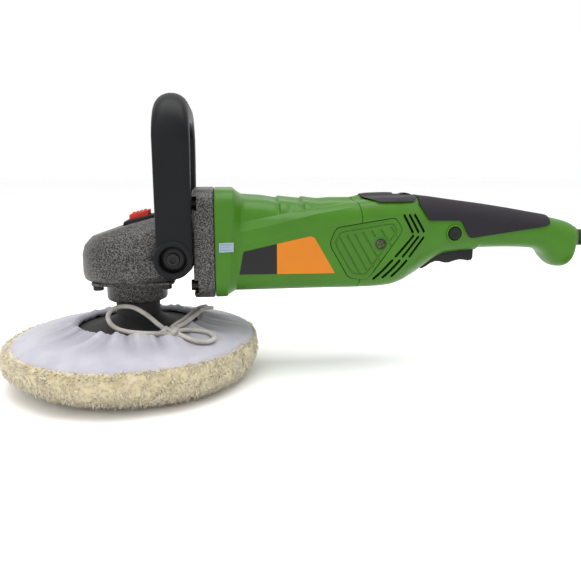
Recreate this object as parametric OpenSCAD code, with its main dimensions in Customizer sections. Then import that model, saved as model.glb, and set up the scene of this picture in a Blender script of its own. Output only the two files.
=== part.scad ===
// Rotary polisher: spindle axis on Z, working face of the bonnet at z = 0, body along +X.

/* [Bonnet and pad] */
// Outer diameter of the wool bonnet
bonnet_d = 208; // [204:1:212]
// Diameter of the rubber backing pad
pad_d = 180; // [176:1:182]
// Diameter of the pad's hub
hub_d = 35.2; // [33:0.2:38]
// Diameter of the opening that the drawstring closes
opening_d = 100; // [90:1:110]

/* [Gears] */
// Teeth on the bevel gear of the spindle
bevel_teeth = 38; // [36:2:40]
// Teeth on the bevel pinion
bevel_pinion_teeth = 13; // [13:2:15]
// Outer pitch radius of the bevel gear
bevel_r = 24; // [23:0.5:24.5]
// Face width of the bevel teeth
bevel_face = 8; // [6:0.5:8]
// Teeth on the intermediate gear
stage_teeth = 36; // [34:2:36]
// Teeth on the motor pinion
motor_teeth = 10; // [10:2:12]
// Module of the intermediate stage
stage_module = 0.75; // [0.7:0.05:0.75]
// Thinning of every tooth for backlash
backlash = 0.22; // [0.2:0.02:0.3]

/* [Gear head] */
// Radius of the gear head round the spindle
head_r = 41.4; // [41:0.2:42]
// Half the width and height of the gearbox plate
plate_half = 42; // [41.4:0.2:42]
// Radius of the bearing collar
collar_r = 24.2; // [23.6:0.2:25]

/* [Motor] */
// Height of the intermediate shaft above the working face
inter_z = 96; // [95.75:0.25:96.25]
// Radius of the stator stack
stator_r = 29.75; // [29.5:0.25:30]
// Radius of the armature core
core_r = 17.6; // [17:0.1:17.8]
// Radius of the commutator
commutator_r = 12; // [11.5:0.1:12]

/* [Front handle] */
// Height of the top of the front handle
handle_top_z = 224; // [218:1:228]
// Half the gap between the legs of the front handle
handle_gap_half = 42.5; // [42.4:0.1:43.5]
// Thickness of the legs
handle_t = 15.5; // [14:0.5:16]
// Width of the legs
handle_w = 26; // [25:0.5:27]

/* [Rear handle] */
// Wall of the plastic housings
wall = 2.6; // [2.2:0.2:2.8]

/* [Mains lead] */
// Diameter of the mains lead
cord_d = 8; // [7:0.5:8]

/* [Hidden] */
$fn = 64;

// Clearance of a running shaft in its bore
run_gap = 0.06;

// Colours
green = [0.32, 0.55, 0.18];
hammertone = [0.36, 0.35, 0.33];
soft_black = [0.14, 0.14, 0.15];
rubber_dark = [0.24, 0.22, 0.26];
steel = [0.72, 0.73, 0.75];
copper = [0.72, 0.42, 0.2];
brass = [0.78, 0.64, 0.3];
iron = [0.45, 0.46, 0.5];
white = [0.86, 0.87, 0.92];
wool = [0.9, 0.86, 0.72];

// Gear train heights and radii
pressure_angle = 20;
stage_shift = 0.4;
stage_distance = stage_module * (stage_teeth + motor_teeth) / 2;
motor_z = inter_z + stage_distance;
bevel_module = 2 * bevel_r / bevel_teeth;
bevel_cone = bevel_r / sin(atan(bevel_teeth / bevel_pinion_teeth));
bevel_shift = 0.3;

// Stations along the body
plate_x = 48;
ring_x = 64;
ring_end_x = 80;
barrel_x = 84;
seam_x = 180;
tail_x = 381.5;
plate_z = 112.2;
barrel_low_z = 71;
barrel_high_z = 146.6;
barrel_half = 36;

// Spindle and bearings
head_low_z = 83;
gear_back_z = inter_z + 15.5;
chamber_top_z = gear_back_z + 2.2;
bush_top_z = chamber_top_z + 5.5;
spindle_thread_r = 7;
spindle_seat_r = 7.5;
spindle_gear_r = 7;
spindle_top_r = 5;
lock_radius = 10.5;
lock_pin_r = 2.2;
lock_floor_z = 121.5;

// Front handle
pivot = [33.8, 103.8];
bolt_r = 5;
boss_r = 14;
handle_corner_r = 30;

// Trigger, lock-on button and dial, as [x, z]
trigger_pivot = [243.5, 97.8];
lock_on_at = [260.6, 116.8];
dial_at = [222, 137.6];
dial_r = 12;

// Mains lead
cord_r = cord_d / 2;
exit_z = 110;
relief_end_x = 422;
coil_centre = [454, -40];
coil_in_r = 28;
coil_out_r = 64;
coil_low_z = 1;
coil_high_z = 17;

// Plan of a screw at each corner of a square
corners = [[-1, -1], [-1, 1], [1, -1], [1, 1]];

// Route of the lead from the strain relief to the coil, then from the coil to the plug
drop_route = [
    [422, 0, 110], [427, 0, 110], [437, 0, 109], [447, 0, 105.8], [457, 0, 100], [466, 0, 92],
    [474, -0.5, 81], [480, -1.5, 69.5], [486, -3.5, 56.5], [492, -7, 42], [498.5, -11.5, 30.2],
    [504.5, -17.5, 22.8], [509, -24.5, 18], [512, -32, 14.9], [513.6, -39, 13.3], [514, -44, 13]
];
tail_route = [
    [421, 7.2, 5], [430, 13.5, 5], [439.5, 20.1, 4.6], [449.5, 27.1, 4.6], [459.5, 34, 5.2],
    [466, 37.6, 6.4], [472.5, 39.8, 7.8], [480, 40.5, 9]
];
plug_at = last(tail_route);

// The drawstring: two loops and two tails that lie on the cover beside the hub
string_r = 1.8;
left_loop = [
    [28, -46, 47.5], [20, -41, 52], [10, -35, 59], [0, -30, 63.5], [-9, -28, 64],
    [-16, -29, 62], [-19, -32.5, 58], [-17, -37, 53.5], [-11, -42, 50], [-2, -46.5, 48.5],
    [10, -49.5, 47.8], [22, -50.5, 47.5], [29, -50.5, 47]
];
right_loop = [
    [33, -46.5, 47], [39, -42, 47.5], [47, -40, 46.5], [56, -40.5, 45], [61, -45, 43.5],
    [62, -52, 42.6], [58, -58, 42.4], [51, -58.5, 42.6], [44, -55, 44], [36, -50.5, 46.5]
];
near_tail = [
    [29, -43, 49], [33, -37, 51], [38, -30, 52.5], [42, -20, 53.5], [45, -9, 53.5], [47, 3, 53],
    [49, 15, 51.5], [51, 27, 49.5], [53, 38, 47.4], [54, 46, 45.8]
];
far_tail = [
    [33.5, -42, 49.5], [38, -37, 50.5], [43, -29, 52.5], [47.5, -18, 53.5], [50.5, -6, 53.5],
    [52.5, 6, 52.5], [54.5, 18, 50.4], [57, 29, 48], [59.5, 38, 46]
];

// Sections of the rear housing along X: [x, lowest z, highest z, half width]
tail_sections = [
    [180, 71, 146.8, 36], [190, 71, 148, 36], [205, 72, 148.4, 35.6], [215, 75, 148, 33.5],
    [225, 79.5, 147.2, 29], [235, 86, 146, 24.5], [245, 93, 144.6, 21.5], [256, 99.2, 143.2, 19.8],
    [270, 101.6, 141.4, 19], [290, 102.8, 138.8, 18.5], [320, 102.8, 133.6, 18.5],
    [337, 101.8, 130.8, 19], [347, 97.5, 129.2, 19.5], [354, 89.5, 128, 20],
    [361, 85.4, 126.6, 20], [370, 86.4, 123.8, 19.5], [377, 89, 121, 18.5], [381.5, 97, 118.6, 17]
];
section_power = 0.6;
section_sides = 40;
// Screws of the rear housing on its right side: [x, z, y of the head's seat]
housing_screw_spots = [[238, 124, 21.5], [298, 121, 17], [338, 116, 17.5], [362, 98, 17.5]];

function unit(v) = v / norm(v);
function last(list) = list[len(list) - 1];

// ---- Tubes and lofts: rings of points joined into one closed solid ----

function tube_faces(rings, sides) = concat(
    [[for (k = [0 : sides - 1]) k]],
    [[for (k = [sides - 1 : -1 : 0]) (rings - 1) * sides + k]],
    [for (i = [0 : rings - 2], k = [0 : sides - 1])
        [i * sides + k, (i + 1) * sides + k, (i + 1) * sides + (k + 1) % sides]],
    [for (i = [0 : rings - 2], k = [0 : sides - 1])
        [i * sides + k, (i + 1) * sides + (k + 1) % sides, i * sides + (k + 1) % sides]]
);

function heading(path, i) = unit(path[min(i + 1, len(path) - 1)] - path[max(i - 1, 0)]);
function square_to(v, axis) = unit(v - (v * axis) * axis);
function carried(path, v, i = 0) = i == len(path) ? [] :
    let (n = square_to(v, heading(path, i))) concat([n], carried(path, n, i + 1));

// A round tube of the given radius along a list of points; "start" is any vector across it
module tube_along(path, radius, sides, start = [0, 0, 1]) {
    across = carried(path, start);
    points = [
        for (i = [0 : len(path) - 1], k = [0 : sides - 1])
            let (n = across[i], b = cross(heading(path, i), n), a = 360 * k / sides)
                path[i] + radius * (cos(a) * n + sin(a) * b)
    ];
    polyhedron(points, tube_faces(len(path), sides));
}

function rounded_power(v) = sign(v) * pow(abs(v), section_power);

// A body along X whose rounded section changes from station to station
module loft(sections, grow = 0) {
    points = [
        for (s = sections, k = [0 : section_sides - 1])
            let (a = 360 * (k + 0.5) / section_sides)
                [
                    s[0],
                    (s[3] + grow) * rounded_power(cos(a)),
                    (s[1] + s[2]) / 2 + ((s[2] - s[1]) / 2 + grow) * rounded_power(sin(a))
                ]
    ];
    polyhedron(points, tube_faces(len(sections), section_sides));
}

// An open coil spring along Z from z0 to z1
module spring(radius, wire_r, z0, z1, turns) {
    steps = turns * 10;
    path = [
        for (i = [0 : steps])
            [radius * cos(36 * i), radius * sin(36 * i), z0 + wire_r + (z1 - z0 - 2 * wire_r) * i / steps]
    ];
    tube_along(path, wire_r, 6);
}

// ---- Plain shapes ----

module rounded_rect(w, h, r) {
    square([w - 2 * r, h], center = true);
    square([w, h - 2 * r], center = true);
    for (c = corners)
        translate([c[0] * (w / 2 - r), c[1] * (h / 2 - r)])
            circle(r);
}

// Extrude along X: the child's first axis becomes Y and its second becomes Z
module along_x(x0, x1) {
    translate([x0, 0, 0])
        rotate([90, 0, 90])
            linear_extrude(x1 - x0)
                children();
}

// Extrude an outline in X and Z along Y, from y0 to y1
module along_y(y0, y1) {
    translate([0, y1, 0])
        rotate([90, 0, 0])
            linear_extrude(y1 - y0)
                children();
}

module rod_x(x0, x1, r, z, y = 0) {
    translate([x0, y, z])
        rotate([0, 90, 0])
            cylinder(h = x1 - x0, r = r);
}

module rod_y(y0, y1, r, at) {
    translate([at[0], y0, at[1]])
        rotate([-90, 0, 0])
            cylinder(h = y1 - y0, r = r);
}

module washer_z(z0, z1, r_out, r_in) {
    translate([0, 0, z0])
        difference() {
            cylinder(h = z1 - z0, r = r_out);
            translate([0, 0, -1])
                cylinder(h = z1 - z0 + 2, r = r_in);
        }
}

// A shielded ball bearing standing on z = 0
module ball_bearing(r_out, r_in, h) {
    mid = (r_out + r_in) / 2;
    lip = (r_out - r_in) / 5;
    rotate_extrude()
        polygon([
            [r_in, 0], [mid - lip, 0], [mid - lip, 0.5], [mid + lip, 0.5], [mid + lip, 0], [r_out, 0],
            [r_out, h], [mid + lip, h], [mid + lip, h - 0.5], [mid - lip, h - 0.5], [mid - lip, h],
            [r_in, h]
        ]);
}

module on_x_axis(x, z) {
    translate([x, 0, z])
        rotate([0, 90, 0])
            children();
}

// A screw pointing along -Z with its head's underside on z = 0
module screw(head_r, head_h, shank_r, length) {
    difference() {
        cylinder(h = head_h, r = head_r);
        for (turn = [0, 90])
            rotate([0, 0, turn])
                translate([-head_r * 0.6, -0.5, head_h - 1.2])
                    cube([head_r * 1.2, 1, 2]);
    }
    translate([0, 0, -length])
        cylinder(h = length + 0.5, r = shank_r);
}

// ---- Gears ----

function radians(a) = a * PI / 180;
function involute(a) = tan(a) - radians(a);
function involute_at(r, base_r) = involute(acos(min(1, base_r / max(r, base_r))));
tooth_steps = 4;

// Outline of a spur gear with involute teeth, tooth 0 on the first axis
function spur_points(teeth, module_mm, shift) =
    let (
        pitch_r = module_mm * teeth / 2,
        base_r = pitch_r * cos(pressure_angle),
        root_r = pitch_r - module_mm * (1.25 - shift),
        tip_r = pitch_r + module_mm * (1 + shift),
        half = PI * module_mm / 4 + shift * module_mm * tan(pressure_angle) - backlash / 4,
        low_r = max(root_r, base_r),
        flank_r = low_r + 0.01,
        radii = concat([root_r], [for (i = [0 : tooth_steps]) flank_r + (tip_r - flank_r) * i / tooth_steps]),
        mid = half / pitch_r + involute(pressure_angle),
        angles = [for (r = radii) (mid - involute_at(r, base_r)) * 180 / PI],
        n = len(radii)
    )
    [
        for (t = [0 : teeth - 1], i = [0 : 2 * n - 1])
            let (j = i < n ? i : 2 * n - 1 - i, a = 360 * t / teeth + (i < n ? -1 : 1) * angles[j])
                radii[j] * [cos(a), sin(a)]
    ];

// A point at distance "along" from the apex of a pitch cone and "off" the cone, as [radius, height]
function cone_point(along, cone_angle, off) =
    [along * sin(cone_angle) + off * cos(cone_angle), along * cos(cone_angle) - off * sin(cone_angle)];

// Straight bevel teeth on +Z with the apex at the origin; tooth 0 on the first axis.
// The teeth are involute on the back cone and shrink in proportion towards the apex.
module bevel_teeth_ring(teeth, mate_teeth, shift) {
    cone_angle = atan(teeth / mate_teeth);
    pitch_r = bevel_module * teeth / 2;
    back_r = pitch_r / cos(cone_angle);
    base_r = back_r * cos(pressure_angle);
    add = bevel_module * (1 + shift);
    ded = bevel_module * (1.25 - shift);
    near = (bevel_cone - bevel_face) / bevel_cone;
    half = PI * bevel_module / 4 + shift * bevel_module * tan(pressure_angle) - backlash / 4;
    offsets = [for (i = [0 : tooth_steps + 1]) -ded - 0.3 + (ded + 0.3 + add) * i / (tooth_steps + 1)];
    far_h = bevel_cone * cos(cone_angle) + (ded + 1) * sin(cone_angle) + 0.5;
    near_h = near * (bevel_cone * cos(cone_angle) - (add + 1) * sin(cone_angle));
    radii = [for (u = offsets) far_h * tan(cone_angle + atan(u / bevel_cone))];
    angles = [
        for (u = offsets)
            (half / back_r + involute(pressure_angle) - involute_at(back_r + u, base_r))
                * (back_r + u) / (bevel_cone * sin(cone_angle) + u * cos(cone_angle)) * 180 / PI
    ];
    n = len(offsets);
    outline = [
        for (t = [0 : teeth - 1], i = [0 : 2 * n - 1])
            let (j = i < n ? i : 2 * n - 1 - i, a = 360 * t / teeth + (i < n ? -1 : 1) * angles[j])
                radii[j] * [cos(a), sin(a)]
    ];
    intersection() {
        translate([0, 0, far_h])
            mirror([0, 0, 1])
                linear_extrude(far_h - near_h, scale = near_h / far_h)
                    polygon(outline);
        rotate_extrude()
            polygon([
                cone_point(bevel_cone, cone_angle, add + 1),
                cone_point(bevel_cone, cone_angle, -ded - 0.25),
                cone_point(near * bevel_cone, cone_angle, -near * (ded + 0.25)),
                cone_point(near * bevel_cone, cone_angle, near * (add + 1))
            ]);
    }
}

// ---- Root: castings and shells ----

module head_body() {
    hull() {
        translate([0, 0, head_low_z])
            cylinder(h = 1, r = head_r - 3);
        translate([0, 0, head_low_z + 4])
            cylinder(h = 18, r = head_r);
        translate([0, 0, 112])
            cylinder(h = 1, r = head_r - 6);
        along_y(-24, 24)
            polygon([[-24.5, 118], [-22, 120.8], [14, 131.4], [plate_x, 131.4], [plate_x, 100]]);
        along_x(30, plate_x)
            translate([0, 110.2])
                rounded_rect(2 * (head_r - 0.4), 38.6, 9);
    }
}

module gear_housing() color(hammertone) {
    difference() {
        head_body();
        translate([0, 0, head_low_z - 1])
            cylinder(h = 5, r = 27);
        translate([0, 0, head_low_z + 1.5])
            cylinder(h = chamber_top_z - head_low_z - 1.5, r = 29);
        translate([0, 0, chamber_top_z - 1])
            cylinder(h = bush_top_z - chamber_top_z + 1, r = 7.55);
        translate([lock_radius, 0, chamber_top_z - 1])
            cylinder(h = 14, r = lock_pin_r + run_gap);
        translate([-4.8, -8.3, lock_floor_z])
            cube([18.6, 16.6, 20]);
        rod_x(20, 30.5, 11, inter_z);
        rod_x(30, 38.1, 9.05, inter_z);
        rod_x(37, plate_x + 1, 4.9, inter_z);
        for (side = [-1, 1])
            rod_y(side > 0 ? 34 : -45, side > 0 ? 45 : -34, bolt_r + 0.05, pivot);
        for (c = corners)
            translate([26 * c[0], 26 * c[1], head_low_z - 1])
                cylinder(h = 13, r = 2.15);
    }
}

module bearing_collar() color(hammertone) {
    difference() {
        union() {
            rotate_extrude()
                polygon([
                    [0, 65], [collar_r - 2.4, 65], [collar_r, 67.4], [collar_r, 81.5], [26.7, 82.9],
                    [26.7, 85.5], [0, 85.5]
                ]);
            translate([0, 0, 80.4])
                linear_extrude(2.5)
                    rounded_rect(64, 64, 9);
        }
        translate([0, 0, 64])
            cylinder(h = 10, r = 12);
        translate([0, 0, 68])
            cylinder(h = 11.2, r = 17.55);
        translate([0, 0, 79])
            cylinder(h = 10, r = 20);
        for (c = corners)
            translate([26 * c[0], 26 * c[1], 79])
                cylinder(h = 10, r = 2.15);
    }
}

module collar_screws() color(soft_black)
    for (c = corners)
        translate([26 * c[0], 26 * c[1], 80.4])
            mirror([0, 0, 1])
                screw(4, 3.2, 2.1, 12);

module gearbox_plate() color(hammertone) {
    difference() {
        along_x(plate_x, ring_x)
            translate([0, plate_z])
                rounded_rect(2 * plate_half, 2 * plate_half, 13);
        rod_x(plate_x - 1, 58, 15, inter_z);
        rod_x(plate_x - 1, 58, 7, motor_z);
        rod_x(57, ring_x + 1, 5.55, inter_z);
        rod_x(57, ring_x + 1, 9.55, motor_z);
        for (c = corners)
            rod_x(plate_x - 1, ring_x + 1, 2.15, plate_z + 31.5 * c[1], 31.5 * c[0]);
    }
}

module gearbox_screws() color(soft_black)
    for (c = corners)
        translate([plate_x, 31.5 * c[0], plate_z + 31.5 * c[1]])
            rotate([0, -90, 0])
                screw(4.3, 3.6, 2.1, 28);

module ball_bearings() color(steel) {
    translate([0, 0, 68])
        ball_bearing(17.5, spindle_seat_r + run_gap, 11);
    on_x_axis(30, inter_z)
        ball_bearing(9, 5 + run_gap, 8);
    on_x_axis(58, motor_z)
        ball_bearing(9.5, 5 + run_gap, 6);
    on_x_axis(192, motor_z)
        ball_bearing(11, 4 + run_gap, 7);
}

module shaft_bushes() color(brass) {
    washer_z(chamber_top_z, bush_top_z, 7.5, spindle_top_r + run_gap);
    on_x_axis(58, inter_z)
        washer_z(0, 6, 5.5, 3.5 + run_gap);
}

// The flat six-sided outline of a brush cover in X and Z, grown by a margin
module cover_outline(margin) {
    offset(delta = margin)
        polygon([[153, 111.5], [158.4, 124.2], [205.4, 131.4], [212, 121.6], [184, 82.6], [169, 84.2]]);
}

module barrel_section(inset) {
    translate([0, (barrel_low_z + barrel_high_z) / 2])
        rounded_rect(2 * (barrel_half - inset), barrel_high_z - barrel_low_z - 2 * inset, 17 - inset);
}

module motor_housing() color(green) {
    difference() {
        union() {
            along_x(ring_x + 0.02, ring_end_x)
                translate([0, plate_z])
                    rounded_rect(2 * plate_half - 0.6, 2 * plate_half - 0.6, 13);
            hull() {
                along_x(ring_end_x - 1, ring_end_x)
                    translate([0, plate_z])
                        rounded_rect(2 * plate_half - 0.6, 2 * plate_half - 0.6, 13);
                along_x(barrel_x + 2, barrel_x + 3)
                    barrel_section(0);
            }
            along_x(barrel_x, seam_x - 0.05)
                barrel_section(0);
        }
        rod_x(ring_x - 1, 82, 33.5, motor_z);
        along_x(81, seam_x + 1)
            barrel_section(3);
        for (c = corners)
            rod_x(ring_x - 1, 79, 2.15, plate_z + 31.5 * c[1], 31.5 * c[0]);
        for (side = [-1, 1])
            along_y(side > 0 ? 25 : -45, side > 0 ? 45 : -25)
                cover_outline(0.4);
    }
    intersection() {
        along_x(94, 178)
            barrel_section(1);
        difference() {
            for (turn = [0, 90])
                translate([0, 0, motor_z])
                    rotate([turn, 0, 0])
                        translate([94, -40, -4])
                            cube([turn == 0 ? 56 : 84, 80, 8]);
            rod_x(93, 180, stator_r + 0.15, motor_z);
        }
    }
}

module inner_hollow() {
    last_cut = last(tail_sections)[0] - wall;
    loft([
        for (s = tail_sections)
            [s[0] == seam_x ? seam_x - 1 : min(s[0], last_cut), s[1] + wall, s[2] - wall, s[3] - wall]
    ]);
}

module rear_shell() {
    difference() {
        union() {
            difference() {
                loft(tail_sections);
                inner_hollow();
            }
            intersection() {
                loft(tail_sections, -0.5);
                union() {
                    rod_y(9.6, 30, 4, trigger_pivot);
                    rod_y(-30, -9.6, 4, trigger_pivot);
                    for (at = housing_screw_spots)
                        rod_y(0, 30, 4.2, at);
                }
            }
        }
        rod_y(-12.1, 12.1, 2.05, trigger_pivot);
        for (at = housing_screw_spots)
            rod_y(at[2] - 14, 60, 1.65, at);
        for (side = [-1, 1])
            along_y(side > 0 ? 25 : -45, side > 0 ? 45 : -25)
                cover_outline(0.4);
        translate([236, -9.5, 80])
            cube([50.6, 19, 28]);
        rod_y(-30, -10, 5.6, lock_on_at);
        dial_slot();
        rod_x(370, tail_x + 1, 7.3, exit_z);
        for (side = [-1, 1])
            vents(side);
    }
}

// Three rows of slanted slots through the side of the rear housing
module vents(side) {
    for (i = [0 : 2]) {
        vent_slot(side, [213.5 + 5 * i, 133.4], [221 + 5 * i, 120]);
        vent_slot(side, [219.5 + 5.5 * i, 116.5], [204 + 5.5 * i, 99.5]);
        vent_slot(side, [201 + 6.5 * i, 97.4], [188 + 6.5 * i, 83.6]);
    }
}

module dial_slot() {
    translate([dial_at[0] - 10.6, -3.6, 140])
        cube([21.2, 7.2, 14]);
}

module vent_slot(side, from, to) {
    run = to - from;
    translate([from[0], 0, from[1]])
        rotate([0, -atan2(run[1], run[0]), 0])
            translate([0, side > 0 ? 12 : -45, -0.6])
                cube([norm(run), 33, 1.2]);
}

module rear_housing_left() color(green)
    intersection() {
        rear_shell();
        translate([0, -60.05, 0])
            cube([500, 60, 200]);
    }

module rear_housing_right() color(green)
    difference() {
        intersection() {
            rear_shell();
            translate([0, 0.05, 0])
                cube([500, 60, 200]);
        }
        for (at = housing_screw_spots)
            rod_y(at[2] - 2, 60, 3.6, at);
    }

module housing_screws() color(soft_black)
    for (at = housing_screw_spots)
        translate([at[0], at[2] - 1.8, at[1]])
            rotate([-90, 0, 0])
                screw(3.3, 1.6, 1.6, 12);

// A skin that lies on the rear housing inside an outline in X and Z
module skin_on_tail(thickness, low_y, high_y) {
    intersection() {
        difference() {
            loft(tail_sections, thickness);
            loft(tail_sections, 0.04);
        }
        along_y(low_y, high_y)
            children();
    }
}

module top_panel() color(rubber_dark)
    difference() {
        skin_on_tail(1.6, -25, 25)
            polygon([[183, 147], [200, 142.6], [230.6, 142.2], [235.4, 145], [233, 152], [183, 152]]);
        dial_slot();
    }

module rubber_grip() color(rubber_dark)
    skin_on_tail(1.1, -30, 30)
        polygon([
            [240.5, 149], [231, 140], [238, 129], [264, 128.6], [272, 114.8], [340, 124.6],
            [353, 127], [353, 136]
        ]);

module brush_covers() color(green)
    for (side = [-1, 1])
        difference() {
            along_y(side > 0 ? 32.4 : -35.8, side > 0 ? 35.8 : -32.4)
                cover_outline(0);
            rod_y(side > 0 ? 33.9 : -40, side > 0 ? 40 : -33.9, 4.6, [194.3, 111]);
            rod_y(-50, 50, 2.1, [194.3, 111]);
        }

module brush_cover_screws() color(iron)
    for (side = [-1, 1])
        translate([194.3, side * 33.95, 111])
            rotate([-90 * side, 0, 0])
                screw(3.8, 1.5, 2, 8);

module side_labels() color([0.88, 0.57, 0.12])
    for (side = [0, 1])
        mirror([0, side, 0])
            along_y(barrel_half + 0.02, barrel_half + 0.32)
                polygon([[88, 90], [89.5, 106], [139, 118], [157, 90]]);

module info_sticker() color([0.74, 0.8, 0.82])
    along_y(-plate_half, -plate_half + 0.28)
        polygon([[67, 107], [67, 114], [78, 114.6], [78, 107.6]]);

// ---- Root: motor and controls ----

module stator_core() color(iron)
    difference() {
        rod_x(94, 146, stator_r, motor_z);
        rod_x(93, 147, 18.3, motor_z);
        for (side = [-1, 1])
            translate([93, side > 0 ? 17 : -27, motor_z - 12])
                cube([54, 10, 24]);
    }

module field_windings() color(copper) {
    for (side = [-1, 1], half = [-1, 1])
        translate([87, side > 0 ? 19.4 : -26.4, half > 0 ? motor_z + 1 : motor_z - 11])
            cube([66, 7, 10]);
    for (x = [86, 147.5])
        on_x_axis(x, motor_z)
            washer_z(0, 6, 27.5, 19.4);
}

module fan_baffle() color(soft_black)
    on_x_axis(82.2, motor_z)
        washer_z(0, 2, 29.8, 21);

module brush_frame() color(soft_black)
    difference() {
        union() {
            rod_x(155, 191, stator_r + 0.1, motor_z);
            rod_x(190, 200, 13.6, motor_z);
            rod_y(-32.3, 32.3, 4.4, [194.3, 111]);
        }
        rod_x(154, 188, 28, motor_z);
        rod_x(187, 192.02, 9, motor_z);
        rod_x(192, 199.1, 11.02, motor_z);
        rod_x(199, 201, 9, motor_z);
        rod_y(-40, -24, 2.05, [194.3, 111]);
        rod_y(24, 40, 2.05, [194.3, 111]);
        translate([161.9, -40, motor_z - 7.1])
            cube([10.2, 80, 14.2]);
    }

module brush_holders() color(brass)
    for (side = [-1, 1])
        difference() {
            translate([162, side > 0 ? 13.4 : -31.4, motor_z - 7])
                cube([10, 18, 14]);
            translate([162.8, side > 0 ? 12 : -30.4, motor_z - 6.2])
                cube([8.4, 18.4, 12.4]);
        }

module carbon_brushes() color([0.1, 0.1, 0.1])
    for (side = [-1, 1])
        translate([163, side > 0 ? commutator_r + 0.4 : -22, motor_z - 6])
            cube([8, 22 - commutator_r - 0.4, 12]);

module brush_springs() color(steel)
    for (side = [-1, 1])
        translate([167, 0, motor_z])
            rotate([-90 * side, 0, 0])
                spring(3, 0.5, 22.1, 30.2, 4);

module switch_body() color(soft_black) {
    translate([249, -8.5, 110])
        cube([34, 17, 17]);
    translate([243, -6, 113])
        cube([7, 12, 9]);
}

module speed_controller() color([0.15, 0.4, 0.25])
    difference() {
        union() {
            translate([205, -14, 112])
                cube([28.4, 28, 12]);
            for (side = [-1, 1])
                translate([218, side > 0 ? 4 : -6, 123])
                    cube([8, 2, 18.5]);
        }
        rod_y(-8, 8, 1.5 + run_gap, dial_at);
    }

module trigger_pin() color(steel)
    rod_y(-12, 12, 2, trigger_pivot);

module trigger_spring() color(steel)
    translate([274, 0, 0])
        spring(3, 0.4, 104.3, 109.9, 3);

module cord_clamp() color(soft_black)
    difference() {
        translate([349, -10, exit_z - 8])
            cube([10, 20, 16]);
        rod_x(348, 360, cord_r, exit_z);
    }

module lock_button_seat() color(soft_black)
    difference() {
        translate([0, 0, -0.1])
            along_y(-10.5, 10.5)
                polygon([[-7, 126.2], [-6.5, 128.4], [15.5, 133.6], [16.2, 132.2]]);
        translate([-4.8, -8.3, 110])
            cube([18.6, 16.6, 40]);
        head_body();
    }

module lock_spring() color(steel)
    translate([4.5, 0, 0])
        spring(3, 0.4, lock_floor_z + 0.1, 128.9, 4);

module handle_bolts() color(iron)
    for (side = [-1, 1])
        mirror([0, side > 0 ? 0 : 1, 0])
            difference() {
                union() {
                    rod_y(35, 53.6, bolt_r, pivot);
                    rod_y(50.2, 52.6, 9.2, pivot);
                }
                translate([pivot[0], 50.8, pivot[1]])
                    rotate([-90, 0, 0])
                        cylinder(h = 4, r = 3, $fn = 6);
            }

module handle_washers() color(iron)
    for (side = [-1, 1])
        mirror([0, side > 0 ? 0 : 1, 0])
            difference() {
                rod_y(head_r - 0.2, 42.1, 12, pivot);
                rod_y(40, 45, bolt_r + 0.1, pivot);
            }

// ---- Root: mains lead ----

module strain_relief() color(soft_black)
    on_x_axis(0, exit_z)
        rotate_extrude()
            polygon([
                [0, 371], [7.8, 371], [7.8, 375.5], [7, 376], [7, 386], [5.4, relief_end_x - 2],
                [4.6, relief_end_x], [0, relief_end_x]
            ]);

module cord_tube() color(soft_black) {
    tube_along(drop_route, cord_r, 8);
    tube_along(tail_route, cord_r, 8);
}

module coil_ring(grow) {
    rotate_extrude()
        translate([coil_in_r - grow, coil_low_z - grow])
            square([coil_out_r - coil_in_r + 2 * grow, coil_high_z - coil_low_z + 2 * grow]);
}

module cord_coil() color(soft_black)
    translate([coil_centre[0], coil_centre[1], 0])
        coil_ring(0);

module cord_tie() color(rubber_dark)
    translate([coil_centre[0], coil_centre[1], 0])
        intersection() {
            difference() {
                coil_ring(coil_low_z);
                coil_ring(0.05);
            }
            rotate([0, 0, -60])
                translate([coil_in_r - 8, -6, 0])
                    cube([coil_out_r - coil_in_r + 16, 12, 40]);
        }

module plug_body() color(soft_black)
    translate(plug_at)
        rotate([0, 90, 0]) {
            cylinder(h = 10, r1 = 5, r2 = 7);
            translate([0, 0, 10])
                linear_extrude(22)
                    rounded_rect(18, 35, 8.9);
        }

module plug_pins() color(steel)
    for (side = [-1, 1])
        rod_x(plug_at[0] + 32, plug_at[0] + 51, 2.4, plug_at[2], plug_at[1] + 9.5 * side);

// ---- Spindle group ----

module spindle() color(steel)
    rotate_extrude()
        polygon([
            [0, 41], [6, 41], [spindle_thread_r, 42], [spindle_thread_r, 66], [spindle_seat_r, 66.5],
            [spindle_seat_r, 79.5], [10, 79.5], [10, 83], [spindle_gear_r, 83.5],
            [spindle_gear_r, gear_back_z + 0.4], [spindle_top_r, gear_back_z + 0.6],
            [spindle_top_r, bush_top_z - 0.5], [4.5, bush_top_z - 0.1], [0, bush_top_z - 0.1]
        ]);

module bevel_gear() color(iron)
    translate([0, 0, inter_z])
        difference() {
            union() {
                bevel_teeth_ring(bevel_teeth, bevel_pinion_teeth, -bevel_shift);
                rotate_extrude()
                    bevel_gear_blank();
            }
            for (turn = [0 : 90 : 270])
                rotate([0, 0, turn])
                    translate([lock_radius, 0, gear_back_z - inter_z - 5])
                        cylinder(h = 6, r = lock_pin_r + 0.5);
        }

module bevel_gear_blank() {
    cone_angle = atan(bevel_teeth / bevel_pinion_teeth);
    ded = bevel_module * (1.25 + bevel_shift);
    near = (bevel_cone - bevel_face) / bevel_cone;
    outer = cone_point(bevel_cone, cone_angle, -ded);
    inner = cone_point(near * bevel_cone, cone_angle, -near * ded);
    back = gear_back_z - inter_z;
    polygon([
        [spindle_gear_r + 0.05, inner[1] + 0.5], inner, outer, [outer[0] + 0.6, outer[1] + 1.2],
        [outer[0] + 0.6, back - 2], [outer[0] - 2, back], [spindle_gear_r + 0.05, back]
    ]);
}

module pad_hub() color(iron)
    rotate_extrude()
        polygon([
            [spindle_thread_r + 0.05, 38], [32, 38], [32, 39.5], [13, 39.5], [13, 64.6],
            [spindle_thread_r + 0.05, 64.6]
        ]);

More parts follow.
